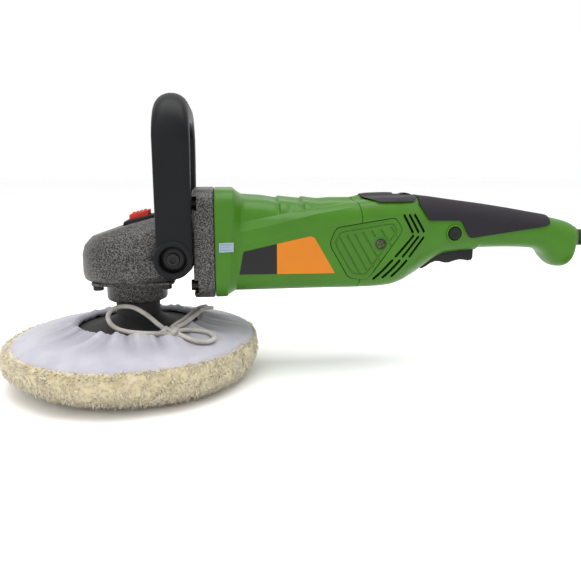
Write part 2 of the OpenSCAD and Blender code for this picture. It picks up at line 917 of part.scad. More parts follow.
module backing_pad() color(soft_black)
    rotate_extrude()
        polygon([
            [0, 14.4], [pad_d / 2 - 2, 14.4], [pad_d / 2, 16.4], [pad_d / 2, 30.4], [pad_d / 2 - 3, 33.4],
            [70, 38], [50, 41.6], [34, 44], [24, 47.5], [hub_d / 2, 52], [hub_d / 2, 63.5],
            [hub_d / 2 - 1, 64.5], [13.05, 64.5], [13.05, 39.55], [32.05, 39.55], [32.05, 37.95],
            [6, 37.95], [0, 37.95]
        ]);

module bonnet_wool() color(wool)
    rotate_extrude()
        polygon([
            [0, 0], [84, 0], [94, 1.8], [100.5, 7], [bonnet_d / 2, 16], [bonnet_d / 2 - 0.6, 24],
            [bonnet_d / 2 - 4, 31], [93.5, 35.3], [pad_d / 2 + 0.6, 33.6], [pad_d / 2 + 0.6, 14.1],
            [0, 14.1]
        ]);

// The cloth cover with a rolled hem round its opening, where the drawstring runs
module bonnet_cover() color(white) {
    hem = opening_d / 2;
    rotate_extrude()
        polygon([
            [93.4, 35.6], [pad_d / 2 + 0.2, 34], [pad_d / 2 - 3, 34.4], [70, 38.8], [hem + 2, 42.4],
            [hem + 0.8, 42.2], [hem - 0.8, 42.2], [hem - 2, 43], [hem - 2.4, 44.4],
            [hem - 2, 45.8], [hem - 0.8, 46.7], [hem + 0.8, 46.7], [hem + 2, 45.8],
            [hem + 2.4, 44.4], [hem + 2.3, 43.7], [70, 40.3], [pad_d / 2 - 3, 36.2], [93, 37]
        ]);
}

module drawstring() color([0.78, 0.77, 0.74]) {
    tube_along(left_loop, string_r, 8);
    tube_along(right_loop, string_r, 8);
    tube_along(near_tail, string_r, 8);
    tube_along(far_tail, string_r, 8);
    translate([31.2, -47.5, 48])
        sphere(r = 5, $fn = 32);
}

// ---- Intermediate group ----

module intermediate_shaft() color(steel) {
    rod_x(28, 38, 5, inter_z);
    rod_x(37.5, 57.5, 4.5, inter_z);
    rod_x(57, 63.8, 3.5, inter_z);
}

module bevel_pinion() color(iron) {
    cone_angle = atan(bevel_pinion_teeth / bevel_teeth);
    ded = bevel_module * (1.25 - bevel_shift);
    near = (bevel_cone - bevel_face) / bevel_cone;
    on_x_axis(0, inter_z) {
        bevel_teeth_ring(bevel_pinion_teeth, bevel_teeth, bevel_shift);
        rotate_extrude()
            polygon([
                [0, cone_point(near * bevel_cone, cone_angle, -near * ded)[1]],
                cone_point(near * bevel_cone, cone_angle, -near * ded),
                cone_point(bevel_cone, cone_angle, -ded),
                [6.4, 26], [6.4, 27.95], [0, 27.95]
            ]);
    }
}

module intermediate_gear() color(iron)
    on_x_axis(48.4, inter_z)
        difference() {
            linear_extrude(7.2)
                polygon(spur_points(stage_teeth, stage_module, -stage_shift));
            translate([0, 0, -1])
                cylinder(h = 12, r = 4.55);
        }

// ---- Armature group ----

module armature_shaft() color(steel) {
    rod_x(56, 92, 5, motor_z);
    rod_x(91, 190, 6, motor_z);
    rod_x(189, 198.6, 4, motor_z);
    on_x_axis(48.2, motor_z)
        linear_extrude(8.3)
            rotate([0, 0, 180 / motor_teeth])
                polygon(spur_points(motor_teeth, stage_module, stage_shift));
}

module armature_core() color(iron)
    on_x_axis(96, motor_z)
        difference() {
            cylinder(h = 48, r = core_r);
            translate([0, 0, -1])
                cylinder(h = 60, r = 6.05);
            for (slot = [0 : 11])
                rotate([0, 0, 30 * slot])
                    translate([core_r - 2, -0.8, -1])
                        cube([4, 1.6, 60]);
        }

module armature_windings() color(copper)
    for (x = [88.5, 144.05])
        on_x_axis(x, motor_z)
            rotate_extrude()
                polygon([[6.05, 0], [13, 0], [15.5, 2], [15.5, 5.4], [13, 7.4], [6.05, 7.4]]);

module commutator() color(copper)
    on_x_axis(158, motor_z)
        difference() {
            union() {
                cylinder(h = 18, r = commutator_r);
                cylinder(h = 3, r = commutator_r + 1.6);
            }
            translate([0, 0, -1])
                cylinder(h = 20, r = 6.05);
            for (bar = [0 : 23])
                rotate([0, 0, 15 * bar])
                    translate([commutator_r - 0.8, -0.25, 3.5])
                        cube([3, 0.5, 20]);
        }

module cooling_fan() color(soft_black)
    on_x_axis(69, motor_z)
        difference() {
            union() {
                cylinder(h = 2, r = 30);
                cylinder(h = 11, r = 9);
                for (blade = [0 : 13])
                    rotate([0, 0, 360 / 14 * blade])
                        translate([8, -0.9, 1])
                            rotate([0, 0, 18])
                                cube([21, 1.8, 10]);
            }
            translate([0, 0, -1])
                cylinder(h = 14, r = 5.05);
        }

// ---- Front handle ----

module handle_section() {
    rounded_rect(handle_t, handle_w, 7);
}

module d_handle() color(soft_black) {
    mid_y = handle_gap_half + handle_t / 2;
    corner_mid = handle_corner_r - handle_t / 2;
    corner_z = handle_top_z - handle_corner_r;
    difference() {
        union() {
            for (side = [-1, 1]) {
                translate([pivot[0], side * mid_y, pivot[1]])
                    linear_extrude(corner_z - pivot[1])
                        rounded_rect(handle_w, handle_t, 7);
                rod_y(side > 0 ? handle_gap_half : -handle_gap_half - handle_t,
                    side > 0 ? handle_gap_half + handle_t : -handle_gap_half, boss_r, pivot);
                translate([pivot[0], side * (mid_y - corner_mid), corner_z])
                    rotate([90, 0, 90])
                        rotate_extrude(angle = 90, start = side > 0 ? 0 : 90)
                            translate([corner_mid, 0])
                                handle_section();
            }
            along_y(corner_mid - mid_y, mid_y - corner_mid)
                translate([pivot[0], handle_top_z - handle_t / 2])
                    rounded_rect(handle_w, handle_t, 7);
        }
        for (side = [-1, 1]) {
            rod_y(side > 0 ? 40 : -60, side > 0 ? 60 : -40, bolt_r + run_gap, pivot);
            rod_y(side > 0 ? 50 : -60, side > 0 ? 60 : -50, 9.7, pivot);
        }
    }
}

// ---- Buttons, trigger and dial ----

module lock_button() color([0.78, 0.2, 0.12]) {
    along_y(-7.6, 7.6)
        polygon([[-4.1, 129.2], [-4.1, 132.9], [-3.4, 133.5], [12.6, 137.4], [13.1, 136.9], [13.1, 129.2]]);
    translate([lock_radius, 0, gear_back_z + 0.5])
        cylinder(h = 21, r = lock_pin_r);
}

module trigger() color(soft_black)
    difference() {
        along_y(-9, 9)
            polygon([
                [237, 85.6], [241, 87.4], [247.5, 91.6], [253, 91.8], [258, 90.4], [263, 90.4],
                [269, 92.4], [275, 93], [280, 91.8], [284, 92.2], [285.8, 94.5], [285.8, 102.6],
                [284.4, 104], [246, 104], [239.5, 101.5], [238.4, 95], [236.8, 87.2]
            ]);
        rod_y(-10, 10, 2 + run_gap, trigger_pivot);
    }

module lock_on_button() color(soft_black) {
    rod_y(-21.6, -13, 5.2, lock_on_at);
    rod_y(-14.4, -12.6, 6.6, lock_on_at);
}

module speed_dial() color(soft_black) {
    difference() {
        rod_y(-3, 3, dial_r, dial_at);
        for (groove = [0 : 23])
            translate([dial_at[0], -4, dial_at[1]])
                rotate([0, 15 * groove, 0])
                    translate([dial_r - 0.5, 0, -0.4])
                        cube([2, 8, 0.8]);
    }
    rod_y(-7, 7, 1.5, dial_at);
}

gear_housing();
bearing_collar();
collar_screws();
gearbox_plate();
gearbox_screws();
ball_bearings();
shaft_bushes();
motor_housing();
rear_housing_left();
rear_housing_right();
housing_screws();
top_panel();
rubber_grip();
brush_covers();
brush_cover_screws();
side_labels();
info_sticker();
stator_core();
field_windings();
fan_baffle();
brush_frame();
brush_holders();
carbon_brushes();
brush_springs();
switch_body();
speed_controller();
trigger_pin();
trigger_spring();
cord_clamp();
lock_button_seat();
lock_spring();
handle_bolts();
handle_washers();
strain_relief();
cord_tube();
cord_coil();
cord_tie();
plug_body();
plug_pins();
spindle();
bevel_gear();
pad_hub();
backing_pad();
bonnet_wool();
bonnet_cover();
drawstring();
intermediate_shaft();
bevel_pinion();
intermediate_gear();
armature_shaft();
armature_core();
armature_windings();
commutator();
cooling_fan();
d_handle();
lock_button();
trigger();
lock_on_button();
speed_dial();
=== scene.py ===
import math
import random

import bpy
import bmesh
from mathutils import Matrix, Vector, noise


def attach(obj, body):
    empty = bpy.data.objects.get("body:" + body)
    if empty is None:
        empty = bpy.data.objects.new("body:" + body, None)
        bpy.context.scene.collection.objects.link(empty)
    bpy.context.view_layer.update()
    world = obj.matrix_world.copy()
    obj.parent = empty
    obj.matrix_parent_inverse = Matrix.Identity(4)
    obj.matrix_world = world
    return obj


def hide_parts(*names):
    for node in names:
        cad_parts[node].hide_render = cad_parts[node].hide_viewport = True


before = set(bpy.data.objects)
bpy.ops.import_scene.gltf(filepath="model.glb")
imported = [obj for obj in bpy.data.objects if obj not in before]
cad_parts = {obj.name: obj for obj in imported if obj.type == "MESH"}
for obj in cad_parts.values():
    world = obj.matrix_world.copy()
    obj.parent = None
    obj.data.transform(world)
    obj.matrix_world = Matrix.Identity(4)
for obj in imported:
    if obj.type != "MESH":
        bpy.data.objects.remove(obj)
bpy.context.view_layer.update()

MM = 0.001
ROOT = "machine"
# Heights of the axes, and places that several pieces share, in millimetres
HEAD_Z, MOTOR_Z, INTER_Z, CORD_Z = 112.2, 113.25, 96, 110
PLATE_SCREW = 31.5
COLLAR_SCREW = 26
PIVOT = (33.8, 103.8)
LOCK_ON_AT = (260.6, 116.8)
TRIGGER_PIN_AT = (243.5, 97.8)
COVER_SCREW_AT = (194.3, 111)
SIDES = (-1, 1)
CORNERS = [(a, b) for a in SIDES for b in SIDES]
X, Y, Z = (1, 0, 0), (0, 1, 0), (0, 0, 1)


# ---------------------------------------------------------------- small maths


def lerp(a, b, t):
    return a + (b - a) * t


def smooth(lo, hi, x):
    t = min(max((x - lo) / (hi - lo), 0.0), 1.0)
    return t * t * (3 - 2 * t)


def table(rows, x):
    """Values at x from rows of (x, a, b, ...), on smooth curves through every row."""
    if x <= rows[0][0]:
        return list(rows[0][1:])
    if x >= rows[-1][0]:
        return list(rows[-1][1:])
    i = max(k for k in range(len(rows) - 1) if rows[k][0] <= x)
    p, q = rows[i], rows[i + 1]
    o, r = rows[max(i - 1, 0)], rows[min(i + 2, len(rows) - 1)]
    h = q[0] - p[0]
    t = (x - p[0]) / h
    out = []
    for k in range(1, len(p)):
        step = (q[k] - p[k]) / h
        before = (p[k] - o[k]) / (p[0] - o[0]) if o is not p else step
        after = (r[k] - q[k]) / (r[0] - q[0]) if r is not q else step
        m0 = 0 if before * step <= 0 else 2 * before * step / (before + step)
        m1 = 0 if after * step <= 0 else 2 * after * step / (after + step)
        out.append(
            (2 * t**3 - 3 * t**2 + 1) * p[k]
            + (t**3 - 2 * t**2 + t) * h * m0
            + (3 * t**2 - 2 * t**3) * q[k]
            + (t**3 - t**2) * h * m1
        )
    return out


def refined(line, step):
    """The line of (radius, height) points with more points, about a step apart."""
    out = []
    for (r0, z0), (r1, z1) in zip(line, line[1:]):
        steps = max(1, round(math.hypot(r1 - r0, z1 - z0) / step))
        out += [(lerp(r0, r1, k / steps), lerp(z0, z1, k / steps)) for k in range(steps)]
    return out + [line[-1]]


def signed_power(value, power):
    """A power of the value's size that keeps the value's sign."""
    return math.copysign(abs(value) ** power, value)


# ------------------------------------------------------------------ materials


def linear(rgb):
    out = []
    for v in rgb:
        c = v / 255
        out.append(c / 12.92 if c <= 0.04045 else ((c + 0.055) / 1.055) ** 2.4)
    return (*out, 1.0)


class Nodes:
    """A short way to write a node tree."""

    def __init__(self, name):
        self.mat = bpy.data.materials.new(name)
        self.mat.use_nodes = True
        self.tree = self.mat.node_tree
        self.shader = self.tree.nodes["Principled BSDF"]
        self.coords = self.add("TexCoord").outputs["Object"]

    def add(self, kind, **values):
        node = self.tree.nodes.new("ShaderNode" + kind)
        for key, value in values.items():
            setattr(node, key, value)
        return node

    def link(self, a, b):
        self.tree.links.new(a, b)

    def feed(self, node, **inputs):
        """Link or set the node's inputs; an underscore stands for a space."""
        for key, value in inputs.items():
            socket = node.inputs[key.replace("_", " ")]
            if isinstance(value, bpy.types.NodeSocket):
                self.link(value, socket)
            else:
                socket.default_value = value
        return node

    def finish(self, **inputs):
        self.feed(self.shader, **inputs)
        return self.mat

    def combine(self, operation, a, b):
        node = self.add("Math", operation=operation)
        self.link(a, node.inputs[0])
        self.link(b, node.inputs[1])
        return node.outputs["Value"]

    def noise(self, size_mm, detail=3.0, stretch=None, distortion=0.0):
        source = self.coords
        if stretch:
            source = self.feed(self.add("Mapping"), Scale=stretch, Vector=source).outputs["Vector"]
        node = self.feed(self.add("TexNoise"), Scale=1000 / size_mm, Detail=detail, Distortion=distortion)
        self.link(source, node.inputs["Vector"])
        return node.outputs["Fac"]

    def ramp(self, source, stops):
        node = self.feed(self.add("ValToRGB"), Fac=source)
        elements = node.color_ramp.elements
        while len(elements) < len(stops):
            elements.new(0.5)
        for e, (at, color) in zip(elements, stops):
            e.position = at
            e.color = color
        return node.outputs["Color"]

    def spread(self, source, low, high, to_low, to_high):
        """Map the range from low to high onto the range from to_low to to_high."""
        node = self.feed(self.add("MapRange"), From_Min=low, From_Max=high, To_Min=to_low, To_Max=to_high)
        self.link(source, node.inputs["Value"])
        return node.outputs["Result"]

    def mix(self, factor, a, b):
        return self.feed(self.add("Mix", data_type="RGBA"), Factor=factor, A=a, B=b).outputs["Result"]

    def bump(self, height, strength, depth_mm, before=None):
        node = self.feed(self.add("Bump"), Strength=strength, Distance=depth_mm * MM, Height=height)
        if before is not None:
            self.link(before, node.inputs["Normal"])
        return node.outputs["Normal"]

    def soft_edge(self, radius_mm):
        return self.feed(self.add("Bevel", samples=4), Radius=radius_mm * MM).outputs["Normal"]

    def edge_mask(self, radius_mm):
        """1 along sharp edges and 0 on open faces."""
        rounded = self.soft_edge(radius_mm)
        dot = self.add("VectorMath", operation="DOT_PRODUCT")
        self.link(rounded, dot.inputs[0])
        self.link(self.add("NewGeometry").outputs["Normal"], dot.inputs[1])
        return self.spread(dot.outputs["Value"], 0.995, 0.9, 0.0, 1.0)


def times(color, factor):
    """A linear colour made darker or lighter, never above 1."""
    return tuple(min(1, c * factor) for c in color[:3]) + (1.0,)


def surface(
    name, rgb, rough, metal=0.0, vary=0.1, patch_mm=22, grain_mm=0.7, bump=0.12,
    depth_mm=0.12, edge=0.0, edge_highlight_rgb=None, edge_mm=0.5, soft_mm=0.0, specular=0.3,
):
    """A moulded, painted or machined finish: mottled colour, fine grain, edges a little lighter as a painted
    highlight.
    """
    n = Nodes(name)
    base = linear(rgb)
    patches = n.noise(patch_mm, 4)
    color = n.ramp(patches, [(0.3, times(base, 1 - vary)), (0.7, times(base, 1 + vary))])
    # painted highlight: sharp edges are mixed towards a lighter colour, as if they caught the light
    if edge:
        color = n.mix(n.spread(n.edge_mask(edge_mm), 0, 1, 0, edge), color, linear(edge_highlight_rgb))
    soft = n.soft_edge(soft_mm) if soft_mm else None
    return n.finish(
        Base_Color=color,
        Roughness=n.spread(patches, 0.3, 0.7, rough - 0.06, rough + 0.06),
        Normal=n.bump(n.noise(grain_mm, 3), bump, depth_mm, soft),
        Metallic=metal,
        Specular_IOR_Level=specular,
    )


def hammertone():
    """Hammered enamel: a fine network of dark pits between lighter flecks."""
    n = Nodes("hammertone")
    fine = n.noise(0.95, 2.0, distortion=0.9)
    pit, coat, fleck = linear((11, 10, 10)), linear((48, 47, 46)), linear((104, 102, 100))
    network = n.ramp(fine, [(0.45, pit), (0.5, coat), (0.55, fleck)])
    veil = n.spread(n.noise(14, 3), 0.3, 0.7, 0.0, 0.3)
    return n.finish(
        Base_Color=n.mix(veil, network, linear((44, 42, 40))),
        Roughness=n.spread(fine, 0.4, 0.6, 0.34, 0.5),
        Normal=n.bump(fine, 0.5, 0.25, n.soft_edge(0.8)),
        Metallic=0.25,
        Specular_IOR_Level=0.4,
    )


def band_wave(n, width_mm, distortion, source):
    """Parallel bands, each as wide as a thread or a wire."""
    wave = n.add("TexWave", wave_type="BANDS", bands_direction="X")
    return n.feed(wave, Scale=1000 / (width_mm * 6.28), Distortion=distortion, Vector=source)


def woven(name, light, dark, thread_mm, bump=0.35, folds=None):
    """A plain weave of crossing threads; given a fold attribute, painted shade darkens the valleys of the
    folds.
    """
    n = Nodes(name)
    waves = []
    for turn in (0.0, math.pi / 2):
        mapping = n.feed(n.add("Mapping"), Rotation=(0.4, 0.3, turn + 0.5), Vector=n.coords)
        wave = band_wave(n, thread_mm, 1.2, mapping.outputs["Vector"])
        waves.append(n.feed(wave, Detail=2).outputs["Fac"])
    cross = n.combine("MULTIPLY", *waves)
    patches = n.noise(18, 4)
    shade = n.ramp(patches, [(0.3, linear(dark)), (0.62, linear(light))])
    cloth = n.mix(n.spread(cross, 0.0, 0.8, 0.0, 0.3), shade, linear(light))
    # painted shade: where the fold attribute is low, in the fold valleys, the cloth is mixed towards a darker
    # colour
    if folds:
        height = n.add("Attribute", attribute_name=folds).outputs["Fac"]
        painted_fold_shade = linear(tuple(0.72 * c for c in dark))
        cloth = n.mix(n.spread(height, 0.0, 0.9, 0.85, 0.0), cloth, painted_fold_shade)
    return n.finish(
        Base_Color=cloth,
        Normal=n.bump(cross, bump, 0.15),
        Roughness=n.spread(patches, 0.3, 0.7, 0.8, 0.9),
        Sheen_Weight=0.25,
    )


def fleece():
    """Cream wool: the tint comes from the lock each face belongs to, with painted shade at the locks' roots
    and in the low spots of the base.
    """
    n = Nodes("fleece")
    tint_and_shade = n.add("Attribute", attribute_name="lock_tint_and_shade").outputs["Fac"]
    patches = n.noise(9, 4)
    value = n.combine("ADD", tint_and_shade, n.spread(patches, 0.3, 0.7, -0.15, 0.15))
    # the ramp's dark end takes the locks' own darker tones and the painted shade, its light end the lit tips
    shaded_root, mid, lit_tip = linear((164, 149, 112)), linear((196, 182, 147)), linear((214, 204, 178))
    return n.finish(
        Base_Color=n.ramp(value, [(0.0, shaded_root), (0.5, mid), (1.0, lit_tip)]),
        Normal=n.bump(n.noise(1.1, 4, distortion=0.6), 0.5, 0.5),
        Roughness=n.spread(patches, 0.3, 0.7, 0.86, 0.96),
        Sheen_Weight=0.4,
        Subsurface_Weight=0.4,
        Subsurface_Radius=(1.0, 0.8, 0.5),
        Subsurface_Scale=0.005,
    )


def brushed(name, rgb, rough=0.35, stretch=(1, 1, 12), vary=0.12):
    """Turned or drawn metal with fine marks in one direction."""
    n = Nodes(name)
    marks = n.noise(2.0, 4, stretch=stretch)
    base = linear(rgb)
    return n.finish(
        Base_Color=n.ramp(marks, [(0.3, times(base, 1 - vary)), (0.7, base)]),
        Roughness=n.spread(marks, 0.3, 0.7, rough - 0.08, rough + 0.1),
        Normal=n.bump(marks, 0.15, 0.08),
        Metallic=1.0,
    )


def wound(name, rgb, wire_mm):
    """Enamelled wire lying in close turns."""
    n = Nodes(name)
    turns = band_wave(n, wire_mm, 0.6, n.coords).outputs["Fac"]
    base = linear(rgb)
    return n.finish(
        Base_Color=n.ramp(turns, [(0.1, times(base, 0.35)), (0.6, base)]),
        Normal=n.bump(turns, 0.7, 0.3),
        Roughness=n.spread(n.noise(6), 0.3, 0.7, 0.3, 0.45),
        Metallic=0.7,
    )


# In the finishes below, the edge colour is a painted highlight along sharp edges
GREEN = surface("green_enamel", (55, 105, 11), 0.38, vary=0.07, patch_mm=30, grain_mm=0.5, bump=0.1,
                depth_mm=0.08, edge=0.3, edge_highlight_rgb=(98, 150, 54), edge_mm=0.5, soft_mm=0.5,
                specular=0.28)
GREEN_PANEL = surface("green_ribbed", (52, 101, 11), 0.42, vary=0.06, patch_mm=24, grain_mm=0.4, bump=0.12,
                      depth_mm=0.08, edge=0.22, edge_highlight_rgb=(92, 144, 50), edge_mm=0.4, soft_mm=0.35)
HAMMER = hammertone()
HANDLE = surface("handle_black", (15, 16, 18), 0.42, vary=0.12, grain_mm=0.5, bump=0.16, depth_mm=0.1,
                 edge=0.2, edge_highlight_rgb=(44, 46, 50), soft_mm=0.5, specular=0.16)
PANEL = surface("panel_plastic", (33, 30, 34), 0.55, vary=0.1, grain_mm=0.45, bump=0.3, depth_mm=0.12,
                edge=0.25, edge_highlight_rgb=(88, 80, 90), soft_mm=0.5, specular=0.25)
GRIP = surface("grip_rubber", (32, 29, 34), 0.66, vary=0.1, grain_mm=0.45, bump=0.35, depth_mm=0.12,
               edge=0.3, edge_highlight_rgb=(66, 61, 68), soft_mm=0.5, specular=0.2)
BLACK = surface("moulded_black", (22, 22, 24), 0.45, vary=0.15, grain_mm=0.5, bump=0.2, depth_mm=0.1,
                edge=0.25, edge_highlight_rgb=(60, 60, 64), soft_mm=0.3, specular=0.22)
CORD = surface("cord_black", (24, 24, 26), 0.5, vary=0.2, patch_mm=30, grain_mm=0.8, bump=0.15, depth_mm=0.08)
RED = surface("red_plastic", (186, 40, 12), 0.38, vary=0.08, grain_mm=0.5, bump=0.12, depth_mm=0.08,
              edge=0.3, edge_highlight_rgb=(228, 98, 66), soft_mm=0.5)
LABEL_DARK = surface("label_dark", (15, 14, 16), 0.4, vary=0.08, grain_mm=0.3, bump=0.04, depth_mm=0.03)
LABEL_ORANGE = surface("label_orange", (190, 110, 10), 0.36, vary=0.04, grain_mm=0.3, bump=0.04,
                       depth_mm=0.03)
SILVER = surface("silver_film", (136, 152, 164), 0.28, metal=0.45, vary=0.06, grain_mm=0.3, bump=0.06,
                 depth_mm=0.03)
SILVER_DARK = surface("silver_print", (116, 134, 156), 0.35, metal=0.3, vary=0.1, grain_mm=0.3, bump=0.05,
                      depth_mm=0.03)
DARK_SCREW = surface("black_oxide", (44, 43, 44), 0.38, metal=0.8, vary=0.15, patch_mm=6, grain_mm=0.3,
                     bump=0.15, depth_mm=0.05, edge=0.4, edge_highlight_rgb=(120, 118, 116), edge_mm=0.25)
PAD = surface("pad_rubber", (36, 36, 38), 0.66, vary=0.15, patch_mm=14, grain_mm=0.8, bump=0.3, depth_mm=0.2,
              soft_mm=0.5)
CARBON = surface("carbon", (24, 24, 25), 0.6, vary=0.2, patch_mm=4, grain_mm=0.3, bump=0.3, depth_mm=0.05)
BOARD = surface("circuit_resin", (30, 70, 44), 0.35, vary=0.15, patch_mm=8, grain_mm=0.6, bump=0.2)
NICKEL = surface("screw_nickel", (84, 76, 70), 0.32, metal=0.85, vary=0.15, patch_mm=4, grain_mm=0.3,
                 bump=0.1, depth_mm=0.04)
STEEL = brushed("turned_steel", (186, 188, 192), 0.3)
ZINC = brushed("zinc", (200, 202, 205), 0.25)
LAMINATION = brushed("lamination", (128, 130, 134), 0.45, stretch=(30, 1, 1), vary=0.35)
GEAR_STEEL = brushed("gear_steel", (150, 151, 155), 0.32, stretch=(6, 6, 6))
BRASS = brushed("brass", (206, 172, 96), 0.3)
COPPER = brushed("copper_bars", (196, 120, 70), 0.3, stretch=(1, 1, 1))
WINDING = wound("copper_winding", (184, 96, 48), 0.9)
# the fold attribute gives painted shade in the valleys of the cloth's folds
CLOTH = woven("white_cloth", (172, 170, 178), (157, 156, 168), 0.5, folds="fold_shade_height")
STRING = woven("braided_string", (172, 167, 160), (126, 121, 114), 0.9, bump=0.8)
FLEECE = fleece()


# ------------------------------------------------------------- making meshes


def mesh_object(name, verts, faces, material, angle=35, fix=True):
    """A mesh object from points in millimetres."""
    me = bpy.data.meshes.new(name)
    me.from_pydata([tuple(c * MM for c in v) for v in verts], [], faces)
    bm = bmesh.new()
    bm.from_mesh(me)
    bmesh.ops.remove_doubles(bm, verts=bm.verts, dist=1e-6)
    if fix:
        bmesh.ops.recalc_face_normals(bm, faces=bm.faces)
    bm.to_mesh(me)
    bm.free()
    me.validate()
    return placed(name, me, material, angle)


def placed(name, me, material, angle):
    obj = bpy.data.objects.new(name, me)
    bpy.context.scene.collection.objects.link(obj)
    if material:
        me.materials.append(material)
    shade(obj, angle)
    return obj


def shade(obj, angle):
    """Smooth shading, with edges above the angle in degrees kept sharp."""
    me = obj.data
    me.polygons.foreach_set("use_smooth", [True] * len(me.polygons))
    me.set_sharp_from_angle(angle=math.radians(angle))
    me.update()


def settle(obj, body, slot, *nodes):
    """The piece is finished: it rides on its body and stands for these CAD nodes."""
    if nodes:
        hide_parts(*nodes)
    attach(obj, body)
    return obj


def rings_mesh(rings, cap=True, loop=False):
    """A skin over rings of equally many points, capped at both ends or closed into a loop."""
    n = len(rings[0])
    verts = [p for ring in rings for p in ring]
    count = len(rings)
    faces = []
    for i in range(count if loop else count - 1):
        a, b = i * n, ((i + 1) % count) * n
        for k in range(n):
            j = (k + 1) % n
            faces.append((a + k, a + j, b + j, b + k))
    if cap and not loop:
        faces.append(tuple(range(n))[::-1])
        faces.append(tuple(range((count - 1) * n, count * n)))
    return verts, faces


def boolean(obj, tools, operation="DIFFERENCE"):
    """Cut, join or intersect with the tools, apply it and remove the tools."""
    for tool in tools:
        m = obj.modifiers.new("boolean", "BOOLEAN")
        m.operation = operation
        m.solver = "MANIFOLD"
        m.object = tool
    bake(obj, tools)


def remove(obj):
    """Delete an object together with its mesh."""
    data = obj.data
    bpy.data.objects.remove(obj)
    bpy.data.meshes.remove(data)


def bake(obj, tools=()):
    """Apply every modifier to the mesh, then remove the tools."""
    bpy.context.view_layer.update()
    graph = bpy.context.evaluated_depsgraph_get()
    new = bpy.data.meshes.new_from_object(obj.evaluated_get(graph))
    obj.modifiers.clear()
    old = obj.data
    obj.data = new
    new.name = obj.name
    bpy.data.meshes.remove(old)
    for tool in tools:
        remove(tool)


def merge(name, parts, material=None, angle=35):
    """One object from several (verts, faces) pairs."""
    verts, faces = [], []
    for v, f in parts:
        base = len(verts)
        verts += v
        faces += [tuple(i + base for i in face) for face in f]
    return mesh_object(name, verts, faces, material, angle=angle)


def box_part(lo, hi, frame_of=None):
    corners = [(x, y, z) for x in (lo[0], hi[0]) for y in (lo[1], hi[1]) for z in (lo[2], hi[2])]
    if frame_of:
        corners = [tuple(frame_of @ Vector(c)) for c in corners]
    return corners, [(0, 1, 3, 2), (4, 6, 7, 5), (0, 4, 5, 1), (2, 3, 7, 6), (0, 2, 6, 4), (1, 5, 7, 3)]


def circle(place, r, h, n):
    angles = [2 * math.pi * k / n for k in range(n)]
    return [tuple(place @ Vector((r * math.cos(a), r * math.sin(a), h))) for a in angles]


def turned(profile, n, place=None):
    """A solid turned from (radius, height) points about Z, then placed by a matrix."""
    place = place or Matrix.Identity(4)
    return rings_mesh([circle(place, max(r, 1e-4), h, n) for r, h in profile])


def on_axis(axis, at):
    """A matrix that takes +Z to the axis, with its origin at the point."""
    z = Vector(axis).normalized()
    x = Vector(X) if abs(z.x) < 0.9 else Vector(Y)
    x = (x - z * x.dot(z)).normalized()
    y = z.cross(x)
    m = Matrix((x, y, z)).transposed().to_4x4()
    m.translation = Vector(at)
    return m


def side_axis(side, at, y=0):
    """The same for an axis that runs out along Y, from a point given in X and Z."""
    return on_axis((0, side, 0), (at[0], y, at[1]))


def rod(r, h, n, axis, at):
    """A plain round bar that starts at the point and runs along the axis."""
    return turned([(0, 0), (r, 0), (r, h), (0, h)], n, on_axis(axis, at))


def cutter(*parts):
    """An unseen tool for a boolean."""
    return merge("cut", list(parts))


def inset_outline(points, d):
    """The outline moved inwards by d along its corners' mitres; it runs anticlockwise."""
    out = []
    n = len(points)
    for i in range(n):
        a, b, c = Vector(points[i - 1]), Vector(points[i]), Vector(points[(i + 1) % n])
        e, f = (b - a).normalized(), (c - b).normalized()
        p, q = Vector((-e.y, e.x)), Vector((-f.y, f.x))
        m = p + q
        m = m / max(m.dot(p), 0.35)
        out.append(tuple(b + m * d))
    return out


def rounded_outline(points, radius, per=5):
    """The polygon with its corners rounded; radius is one number or one for each corner."""
    out = []
    n = len(points)
    for i in range(n):
        r = radius[i] if isinstance(radius, (list, tuple)) else radius
        a, b, c = Vector(points[i - 1]), Vector(points[i]), Vector(points[(i + 1) % n])
        e, f = (a - b), (c - b)
        t = min(r, e.length * 0.45, f.length * 0.45)
        p, q = b + e.normalized() * t, b + f.normalized() * t
        for k in range(per + 1):
            s = k / per
            out.append(tuple((1 - s) ** 2 * p + 2 * s * (1 - s) * b + s * s * q))
    return out


def plate_part(outline, y0, y1, r, steps=3):
    """An outline in X and Z made into a plate from y0 to y1 with edges rounded by r."""
    angles = [math.pi / 2 * k / steps for k in range(steps + 1)]
    layers = [(r * (1 - math.sin(a)), r * (1 - math.cos(a))) for a in angles]
    rings = [[(x, y0 + depth, z) for x, z in inset_outline(outline, inset)] for inset, depth in layers]
    rings += [[(x, y1 - depth, z) for x, z in inset_outline(outline, inset)] for inset, depth in layers[::-1]]
    return rings_mesh(rings)


def prism_part(outline, y0, y1):
    """An outline in X and Z made into a flat plate from y0 to y1."""
    return rings_mesh([[(x, y, z) for x, z in outline] for y in (y0, y1)])


def curve_object(name, points, radius, material):
    """A round tube on one smooth open spline through the points, in millimetres."""
    cu = bpy.data.curves.new(name, "CURVE")
    cu.dimensions = "3D"
    cu.bevel_depth = radius * MM
    cu.bevel_resolution = 4
    cu.use_fill_caps = True
    cu.resolution_u = 6
    s = cu.splines.new("BEZIER")
    s.bezier_points.add(len(points) - 1)
    pts = [Vector(p) * MM for p in points]
    for i, b in enumerate(s.bezier_points):
        before, after = pts[max(i - 1, 0)], pts[min(i + 1, len(pts) - 1)]
        along = (after - before).normalized()
        b.co = pts[i]
        b.handle_left_type = b.handle_right_type = "FREE"
        b.handle_left = pts[i] - along * (pts[i] - before).length / 3
        b.handle_right = pts[i] + along * (after - pts[i]).length / 3
    cu.materials.append(material)
    obj = bpy.data.objects.new(name, cu)
    bpy.context.scene.collection.objects.link(obj)
    return obj


# ----------------------------------------------------------- camera and lead

